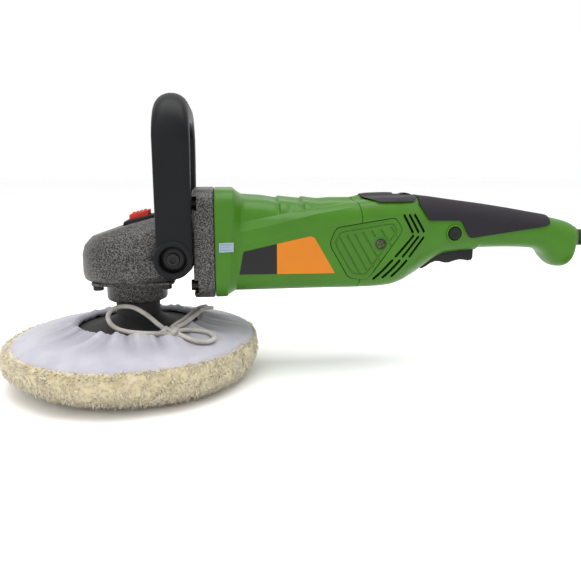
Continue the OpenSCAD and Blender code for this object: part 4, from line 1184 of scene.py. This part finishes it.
def make_screws():
    parts = [cap_screw((COLLAR_SCREW * sx, COLLAR_SCREW * sy, 80.3), (0, 0, -1), 4.0, 3.2, 2.1, 12, 2.0)
             for sy, sx in CORNERS]
    settle(merge("collar_screw_set", parts, DARK_SCREW), ROOT, "bright_steel", "collar_screws")
    heads_at = [(51.2, PLATE_SCREW * sy, HEAD_Z + PLATE_SCREW * sz) for sy, sz in CORNERS]
    parts = [cap_screw(at, (-1, 0, 0), 4.3, 5.6, 2.1, 26, 2.2) for at in heads_at]
    settle(merge("gearbox_screw_set", parts, DARK_SCREW), ROOT, "bright_steel", "gearbox_screws")
    bolt = [(0, 35), (5, 35), (5, 50.2), (9.1, 50.2), (9.2, 50.4), (9.2, 51.2), (8.9, 51.4), (4.9, 51.4),
            (4.9, 54.4), (4.4, 55.0), (2.7, 55.0), (2.7, 52.6), (0, 52.6)]
    parts = [turned(bolt, 44, side_axis(side, PIVOT)) for side in SIDES]
    settle(merge("handle_bolt_set", parts, DARK_SCREW), ROOT, "steel", "handle_bolts")
    screw = [(0, -8), (2, -8), (2, 0), (3.9, 0), (4.0, 0.3), (3.7, 1.1), (2.6, 1.7), (1.2, 1.9), (0, 1.9)]
    places = [side_axis(side, COVER_SCREW_AT, 33.95 * side) for side in SIDES]
    heads = merge("brush_cover_screw_set", [turned(screw, 36, place) for place in places], NICKEL)
    slots = []
    for place in places:
        for turn in (20, 110):
            across = place @ Matrix.Rotation(math.radians(turn), 4, "Z")
            slots.append(cutter(box_part((-2.9, -0.62, 0.5), (2.9, 0.62, 3), across)))
    boolean(heads, slots)
    shade(heads, 30)
    settle(heads, ROOT, "steel", "brush_cover_screws")


def make_lock_button():
    outline = rounded_outline([(13.0, 129.2), (13.0, 136.9), (12.2, 137.5), (-1.8, 134.1), (-2.8, 133.0),
                               (-2.8, 129.2)], 0.6, 3)
    cap = mesh_object("lock_button_cap", *plate_part(outline, -7.5, 7.5, 0.8), RED)
    ridges = []
    for x in (0.2, 3.2, 6.2, 9.2):
        place = on_axis(Y, (x, 0, 134.75 + x * 0.245))
        ridges.append(cutter(turned([(0, -5.6), (0.62, -5.6), (0.62, 5.6), (0, 5.6)], 14, place)))
    boolean(cap, ridges, "UNION")
    pin = [(0, 112.0), (1.9, 112.0), (2.2, 112.3), (2.2, 130), (0, 130)]
    boolean(cap, [cutter(turned(pin, 28, on_axis(Z, (10.5, 0, 0))))], "UNION")
    shade(cap, 32)
    settle(cap, "lock_button", "black_plastic", "lock_button")
    seat = rounded_outline([(16.6, 129.6), (16.4, 133.4), (14.8, 133.9), (-6.2, 128.6), (-7.0, 127.6),
                            (-7.6, 124.9)], 0.8, 3)
    rim = mesh_object("lock_button_frame", *plate_part(seat, -10.6, 10.6, 0.9), BLACK)
    boolean(rim, [cutter(box_part((-4.9, -8.4, 110), (13.9, 8.4, 150)))])
    shade(rim, 32)
    settle(rim, ROOT, "black_plastic", "lock_button_seat")


# --------------------------------------------------------------- front handle


def handle_ring(centre, out, width, t_in, t_out, flat):
    """A section of the handle: X across, "out" away from the middle of the D."""
    n = 44
    ring = []
    for k in range(n):
        a = 2 * math.pi * k / n
        c, s = math.cos(a), math.sin(a)
        power, depth = (flat, t_out) if s >= 0 else (0.5, -t_in)
        x = width / 2 * signed_power(c, power)
        d = depth * abs(s) ** power
        ring.append((centre[0] + x, centre[1] + out[0] * d, centre[2] + out[1] * d))
    return ring


def make_handle():
    mid_y, corner_r, top_z, thick = 50.25, 24.0, 224.0, 7.75
    low = PIVOT[1]
    corner_z = top_z - thick - corner_r
    # (place in Y and Z, direction away from the middle, share of the top bar's shape)
    path = [((-mid_y, z), (-1, 0), 0.0) for z in spaced(low, corner_z, 4)]
    for k in range(1, 15):
        a = math.pi / 2 * k / 14
        at = (-mid_y + corner_r * (1 - math.cos(a)), corner_z + corner_r * math.sin(a))
        path.append((at, (-math.cos(a), math.sin(a)), math.sin(a)))
    path += [((y, top_z - thick), (0, 1), 1.0) for y in spaced(-mid_y + corner_r, mid_y - corner_r, 4)[1:]]
    path += [((-y, z), (-out[0], out[1]), top) for (y, z), out, top in path[::-1]
             if y < -mid_y + corner_r - 0.01]
    rings = []
    for (y, z), out, top in path:
        high = smooth(112, 200, z)
        width = lerp(lerp(26.0, 26.8, high), 26.2, top)
        crown = lerp(lerp(5.6, 7.0, high), 12.6, top)
        sink = lerp(0.0, 4.85, top)
        centre = (PIVOT[0] + lerp(0.9, 1.4, high), y - out[0] * sink, z - out[1] * sink)
        rings.append(handle_ring(centre, out, width, lerp(7.6, 6.6, top), crown, lerp(0.36, 0.96, top)))
    handle = mesh_object("front_d_handle", *rings_mesh(rings), HANDLE)
    boss = [(0, 42.55), (13.2, 42.55), (14.1, 43.4), (14.2, 56.2), (13.9, 57.3), (13.2, 57.95), (0, 57.95)]
    recess = [(0, 50.0), (9.7, 50.0), (9.7, 56.9), (10.5, 57.7), (10.8, 59), (0, 59)]
    bore = [(0, 40), (5.06, 40), (5.06, 51), (0, 51)]
    places = [side_axis(side, PIVOT) for side in SIDES]
    boolean(handle, [cutter(turned(boss, 72, place)) for place in places], "UNION")
    boolean(handle, [cutter(turned(cut, n, place)) for place in places
                     for cut, n in ((recess, 56), (bore, 36))])
    shade(handle, 38)
    settle(handle, "front_handle", "black_plastic", "d_handle")


# ------------------------------------------------- trigger, buttons and relief


def make_trigger():
    outline = [(236.9, 86.0), (239.0, 86.3), (241.6, 87.8), (245.5, 90.4), (249.4, 91.9), (253.6, 91.7),
               (257.7, 90.5), (261.4, 90.5), (265.5, 91.8), (270.5, 93.0), (275.0, 92.7), (278.7, 91.9),
               (281.3, 92.5), (282.6, 94.6), (282.6, 103.2), (281.3, 103.9), (246.2, 103.9), (240.0, 101.4),
               (238.6, 95.2)]
    trigger = mesh_object("trigger_lever", *plate_part(outline, -8.9, 8.9, 1.7, 4), BLACK)
    bore = [(0, -12), (2.07, -12), (2.07, 12), (0, 12)]
    boolean(trigger, [cutter(turned(bore, 28, side_axis(1, TRIGGER_PIN_AT)))])
    shade(trigger, 40)
    settle(trigger, "trigger", "black_plastic", "trigger")


def make_lock_on():
    place = side_axis(-1, LOCK_ON_AT)
    cap = [(0, 12.6), (6.5, 12.6), (6.6, 12.8), (6.6, 14.2), (6.5, 14.4), (5.2, 14.4), (5.2, 20.7),
           (4.9, 21.3), (4.2, 21.6), (3.4, 21.6), (3.0, 21.3), (0, 21.1)]
    button = merge("lock_on_cap", [turned(cap, 48, place)], BLACK)
    settle(button, "lock_on", "black_plastic", "lock_on_button")
    rim = [(5.75, 17.4), (7.4, 17.4), (7.3, 20.2), (6.9, 20.9), (6.3, 21.0), (5.75, 20.5)]
    rings = [circle(place, r, h, 48) for r, h in rim]
    collar = mesh_object("lock_on_rim", *rings_mesh(rings, cap=False, loop=True), GREEN)
    settle(collar, ROOT, "green_plastic")


def make_relief():
    profile = [(0, 371), (7.8, 371), (7.8, 375.4), (7.0, 376), (7.0, 383)]
    x, r = 383.0, 7.0
    for k in range(8):
        r2 = lerp(6.9, 5.3, (k + 1) / 8)
        profile += [(r, x + 0.4), (r, x + 2.6), (r - 1.1, x + 3.1), (r - 1.1, x + 4.2), (r2, x + 4.7)]
        x, r = x + 4.6, r2
    profile += [(5.2, 420.4), (4.6, 422), (0, 422)]
    relief = merge("strain_relief_sleeve", [turned(profile, 40, on_axis(X, (0, 0, CORD_Z)))], CORD, 30)
    settle(relief, ROOT, "black_rubber", "strain_relief")


PLUG_AT = (480, 40.5, 9)


def make_plug():
    x0, y0, z0 = PLUG_AT
    rings = []
    # (distance from the lead's end, half width, half height, squareness)
    for dx, hy, hz, p in ((0, 4.6, 4.6, 1.0), (0.6, 5.0, 5.0, 1.0), (6, 5.8, 5.6, 0.95), (9, 7.4, 6.4, 0.85),
                          (13, 11.4, 7.4, 0.7), (17, 14.4, 8.2, 0.6), (22, 16.4, 8.8, 0.55),
                          (27, 17.2, 8.9, 0.5), (30.8, 17.3, 8.9, 0.5), (31.6, 17.0, 8.6, 0.5),
                          (32, 16.2, 8.0, 0.5)):
        ring = []
        for k in range(48):
            a = 2 * math.pi * k / 48
            y, z = hy * signed_power(math.cos(a), p), hz * signed_power(math.sin(a), p)
            ring.append((x0 + dx, y0 + y, z0 + z))
        rings.append(ring)
    plug = mesh_object("mains_plug", *rings_mesh(rings), CORD)
    grooves = []
    for k in range(3):
        x = x0 + 18 + 3.6 * k
        for side in SIDES:
            low, high = y0 + side * 14.0 - 1, y0 + side * 17.5 + 1
            grooves.append(cutter(box_part((x, low, z0 - 5), (x + 1.3, high, z0 + 5))))
    boolean(plug, grooves)
    shade(plug, 35)
    return settle(plug, ROOT, "black_rubber", "plug_body")


make_gear_head()
make_collar()
make_plate()
make_screws()
make_lock_button()
make_handle()
make_trigger()
make_lock_on()
make_relief()
plug = make_plug()


# ---------------------------------------------------------------- the bonnet

WOOL_SKIN = [(62, 1.3), (74, 2.0), (83, 4.2), (91, 8.2), (97.4, 13.2), (101.4, 18.6), (102.8, 23.6),
             (102.4, 28), (100.8, 31.4), (98.6, 33.2), (96.2, 33.4), (92, 34.6)]
# The radius of the hollow that the fleece leaves for the backing pad
PAD_R = 90.8
ROOT_END = 9
KNOT = (31.2, -47.5, 48)
KNOT_ANGLE = math.atan2(KNOT[1], KNOT[0])


def bonnet_swell(theta, r):
    """How far the fleece stands out of true: the bonnet sits a little to one side on the pad."""
    share = min(max((r - 91.5) / 11, 0.0), 1.0)
    wave = 0.7 * math.sin(3 * theta + 0.6) + 0.5 * math.sin(7 * theta + 2.0)
    wave += 0.35 * math.sin(13 * theta + 4.1)
    return share * (-1.2 - 5.6 * math.cos(theta) + wave)


def make_wool():
    rng = random.Random(11)
    profile = [(0.0, 1.2), (35, 1.2)] + refined(WOOL_SKIN, 2.2)
    profile += [(PAD_R, 33.4), (PAD_R, 14.3), (45, 14.3), (0.0, 14.3)]
    n = 420
    verts, faces, tint_and_shade = [], [], []
    rows = []
    for r, z in profile:
        if r == 0:
            rows.append([len(verts)])
            verts.append((0, 0, z))
            tint_and_shade.append(0.3)
            continue
        row = []
        for k in range(n):
            a = 2 * math.pi * k / n
            lump = 0.0
            if r > 62 and r != PAD_R:
                spot = Vector((math.cos(a) * 7, math.sin(a) * 7, z * 0.08))
                lump = 0.8 * noise.noise(spot) + 0.35 * noise.noise(spot * 2.7) + 0.15 * noise.noise(spot * 7)
                lump *= 1 - smooth(30, 35, z)
            rr = r + (bonnet_swell(a, r) + lump if r != PAD_R else 0)
            row.append(len(verts))
            verts.append((rr * math.cos(a), rr * math.sin(a), z))
            # painted shade: the base is darker in its low spots and lighter on its lumps
            tint_and_shade.append(0.5 + 0.12 * lump)
        rows.append(row)
    for low, high in zip(rows, rows[1:]):
        for k in range(n):
            j = (k + 1) % n
            if len(low) == 1:
                faces.append((low[0], high[j], high[k]))
            elif len(high) == 1:
                faces.append((low[k], low[j], high[0]))
            else:
                faces.append((low[k], low[j], high[j], high[k]))
    spans = []
    for (r0, z0), (r1, z1) in zip(WOOL_SKIN, WOOL_SKIN[1:ROOT_END + 2]):
        spans.append(((r0, z0), (r1, z1), math.hypot(r1 - r0, z1 - z0) * (0.35 if z1 < 3 else 1.0)))
    total = sum(s[2] for s in spans)

    def lock(length, radii, sides, loose):
        pick = rng.random() * total
        for (r0, z0), (r1, z1), weight in spans:
            if pick <= weight:
                break
            pick -= weight
        share = rng.random()
        r, z = lerp(r0, r1, share), lerp(z0, z1, share)
        a = rng.random() * 2 * math.pi
        span = math.hypot(r1 - r0, z1 - z0)
        out_r, out_z = (z1 - z0) / span, -(r1 - r0) / span
        r += bonnet_swell(a, r)
        outward = Vector((out_r * math.cos(a), out_r * math.sin(a), out_z))
        along = Vector((-math.sin(a), math.cos(a), 0))
        start = Vector((r * math.cos(a), r * math.sin(a), z)) - outward * 0.9
        spot = Vector((math.cos(a) * 6, math.sin(a) * 6, z * 0.09))
        comb = 0.5 * noise.noise(spot + Vector((9, 0, 0)))
        rise = 0.35 * noise.noise(spot) + 0.35 * smooth(20, 28, z) - 0.25 * (1 - smooth(6, 16, z))
        if z > 28:
            outward = Vector((math.cos(a), math.sin(a), 0.3)).normalized()
            rise += 0.3
        way = outward * 0.5 + along * (comb + rng.gauss(0, loose))
        way += Vector((0, 0, rise - 0.35 + rng.gauss(0, loose)))
        way.normalize()
        curl = along * rng.gauss(0, 0.45) + Vector((0, 0, rng.gauss(-0.1, 0.35))) - outward * 0.4
        length *= rng.uniform(0.7, 1.2)
        steps = len(radii) - 1
        first = len(verts)
        shade_of = min(max(0.68 + 0.2 * noise.noise(spot * 1.7) + rng.gauss(0, 0.06), 0.3), 1.0)
        size = rng.uniform(0.8, 1.15)
        for i, radius in enumerate(radii):
            s = i / steps
            centre = start + way * (length * s) + curl * (length * 0.42 * s * s)
            flow = (way + curl * (0.84 * s)).normalized()
            side = flow.cross(Vector((0, 0, 1)))
            side = side.normalized() if side.length > 1e-3 else Vector((1, 0, 0))
            up = side.cross(flow)
            for k in range(sides):
                b = 2 * math.pi * k / sides + 0.5 * i
                p = centre + (side * math.cos(b) + up * math.sin(b)) * (radius * size)
                verts.append((p.x, p.y, max(p.z, 0.15 + 0.02 * k + 0.01 * i)))
                # painted shade: each lock is darker at its root than at its tip
                tint_and_shade.append(shade_of * (0.88 + 0.12 * s))
            if i:
                for k in range(sides):
                    j = (k + 1) % sides
                    b0 = first + (i - 1) * sides
                    faces.append((b0 + k, b0 + j, b0 + sides + j, b0 + sides + k))
        faces.append(tuple(range(first + sides - 1, first - 1, -1)))
        end = first + steps * sides
        faces.append(tuple(range(end, end + sides)))

    for _ in range(700):
        lock(5.0, (0.9, 0.75, 0.45, 0.12), 4, 0.14)
    for _ in range(17000):
        lock(4.4, (0.3, 0.24, 0.06), 3, 0.18)
    wool = mesh_object("bonnet_fleece", verts, faces, FLEECE, angle=180, fix=False)
    layer = wool.data.attributes.new("lock_tint_and_shade", "FLOAT", "POINT")
    layer.data.foreach_set("value", tint_and_shade)
    settle(wool, "spindle", "wool", "bonnet_wool")


def gathers(theta, r):
    """The height of the folds that the drawstring pulls into the cloth."""
    near = 1 - smooth(46, 94, r)
    turn = (theta - KNOT_ANGLE + math.pi) % (2 * math.pi) - math.pi
    pull = 1 + 0.9 * math.exp(-(turn / 0.6) ** 2)
    close = theta + 0.004 * (r - 50) * math.sin(5 * theta)
    folds = 0.0
    for count, high, phase, reach in ((19, 1.3, 0.3, 0.9), (31, 1.1, 1.9, 1.3), (53, 0.7, 4.4, 2.2),
                                      (9, 0.9, 2.2, 0.6)):
        sharp = 1 - abs(math.sin(count * close / 2 + phase + 0.9 * math.sin(3 * theta + phase))) ** 0.75
        folds += high * sharp * near ** reach
    return pull * folds


def make_cover():
    line = [(98.8, 31.0), (97.4, 32.8), (95.2, 34.5), (92.2, 36.0), (88, 37.1), (80, 38.5), (70, 40.2),
            (62, 41.6), (57, 42.8), (54, 44.0), (52.2, 44.9), (50.9, 45.3), (49.6, 45.1), (48.6, 44.4),
            (48.2, 43.4), (48.6, 42.5), (49.8, 42.1)]
    n = 420
    rings, fold_shade_heights = [], []
    for r, z in refined(line, 2.0):
        ring = []
        for k in range(n):
            a = 2 * math.pi * k / n
            fold = gathers(a, max(r, 50))
            swell = bonnet_swell(a, r)
            rr = r + min(swell, 0.0) + 0.35 * max(swell, 0.0)
            rr += 0.5 * math.sin(2 * a + 1) * (1 - smooth(50, 80, r))
            lift = fold * (0.7 if r < 50.5 else 1.2)
            # painted shade: each point's place in its fold, low in the valleys near the knot and 1 away from
            # the gathers; the cloth is darker where it is low
            gather = 1 - smooth(46, 94, max(r, 50))
            fold_shade_heights.append(lerp(1.0, min(fold / 2.6, 1.0), gather))
            lift += 0.35 * noise.noise(Vector((rr * math.cos(a) * 0.06, rr * math.sin(a) * 0.06, 3.0)))
            edge = 0.5 * math.sin(29 * a) * math.sin(11 * a + 1) * smooth(96, 98.8, r)
            ring.append(((rr + edge) * math.cos(a), (rr + edge) * math.sin(a), z + lift + 0.2))
        rings.append(ring)
    cover = mesh_object("bonnet_cloth_cover", *rings_mesh(rings, cap=False), CLOTH, angle=180)
    layer = cover.data.attributes.new("fold_shade_height", "FLOAT", "POINT")
    layer.data.foreach_set("value", fold_shade_heights)
    thick = cover.modifiers.new("thickness", "SOLIDIFY")
    thick.thickness = 0.7 * MM
    thick.offset = 1.0
    bake(cover)
    shade(cover, 180)
    settle(cover, "spindle", "cloth", "bonnet_cover")


STRING_R = 1.75
LEFT_LOOP = [(28, -46, 47.5), (20, -41, 52), (10, -35, 59), (0, -30, 63.5), (-9, -28, 64), (-16, -29, 62),
             (-19, -32.5, 58), (-17, -37, 53.5), (-11, -42, 50), (-2, -46.5, 48.5), (10, -49.5, 47.8),
             (22, -50.5, 47.5), (29, -50.5, 47)]
RIGHT_LOOP = [(33, -46.5, 47), (39, -42, 47.5), (47, -40, 46.5), (56, -40.5, 45), (61, -45, 43.5),
              (62, -52, 42.6), (58, -58, 42.4), (51, -58.5, 42.6), (44, -55, 44), (36, -50.5, 46.5)]
NEAR_TAIL = [(29, -43, 49), (33, -37, 51), (38, -30, 52.5), (42, -20, 53.5), (45, -9, 53.5), (47, 3, 53),
             (49, 15, 51.5), (51, 27, 49.5), (53, 38, 47.4), (54, 46, 45.8)]
FAR_TAIL = [(33.5, -42, 49.5), (38, -37, 50.5), (43, -29, 52.5), (47.5, -18, 53.5), (50.5, -6, 53.5),
            (52.5, 6, 52.5), (54.5, 18, 50.4), (57, 29, 48), (59.5, 38, 46)]


def knot_point(t):
    """A point on the closed trefoil that the knot follows."""
    size = 1.45
    return Vector((
        KNOT[0] + size * (math.sin(t) + 2 * math.sin(2 * t)),
        KNOT[1] + size * 0.9 * (math.cos(t) - 2 * math.cos(2 * t)),
        KNOT[2] - 0.2 - size * 1.1 * math.sin(3 * t),
    ))


def make_drawstring():
    knot_rings = []
    steps, sides = 96, 12
    for i in range(steps):
        t = 2 * math.pi * i / steps
        flow = (knot_point(t + 0.01) - knot_point(t - 0.01)).normalized()
        side = flow.cross(Vector((0, 0, 1))).normalized()
        up = side.cross(flow)
        ring = []
        for k in range(sides):
            b = 2 * math.pi * k / sides
            ring.append(tuple(knot_point(t) + (side * math.cos(b) + up * math.sin(b)) * STRING_R))
        knot_rings.append(ring)
    knot = mesh_object("drawstring_knot", *rings_mesh(knot_rings, cap=False, loop=True), STRING, angle=180)
    settle(knot, "spindle", "string", "drawstring")
    for name, route, end in (("left", LEFT_LOOP, "knot"), ("right", RIGHT_LOOP, "knot"),
                             ("near", NEAR_TAIL, "bare"), ("far", FAR_TAIL, "bare")):
        strand = curve_object("drawstring_" + name, route, STRING_R, STRING)
        settle(strand, "spindle", "string", "drawstring")


make_wool()
make_cover()
make_drawstring()

# -------------------------------------------------- finishes of the CAD pieces

FINISHES = [
    (GEAR_STEEL, ["bevel_gear", "bevel_pinion", "intermediate_gear"]),
    (STEEL, ["spindle", "intermediate_shaft", "armature_shaft", "trigger_pin", "ball_bearings", "pad_hub"]),
    (ZINC, ["cord_clamp", "lock_spring", "brush_springs", "trigger_spring"]),
    (BRASS, ["shaft_bushes", "brush_holders", "plug_pins"]),
    (LAMINATION, ["stator_core", "armature_core"]),
    (COPPER, ["commutator"]),
    (WINDING, ["field_windings", "armature_windings"]),
    (CARBON, ["carbon_brushes"]),
    (BOARD, ["speed_controller"]),
    (DARK_SCREW, ["handle_washers", "housing_screws"]),
    (BLACK, ["fan_baffle", "brush_frame", "switch_body", "cooling_fan", "speed_dial", "cord_tie"]),
    (PAD, ["backing_pad"]),
]
for finish, names in FINISHES:
    for name in names:
        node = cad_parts[name]
        node.data.materials.clear()
        node.data.materials.append(finish)
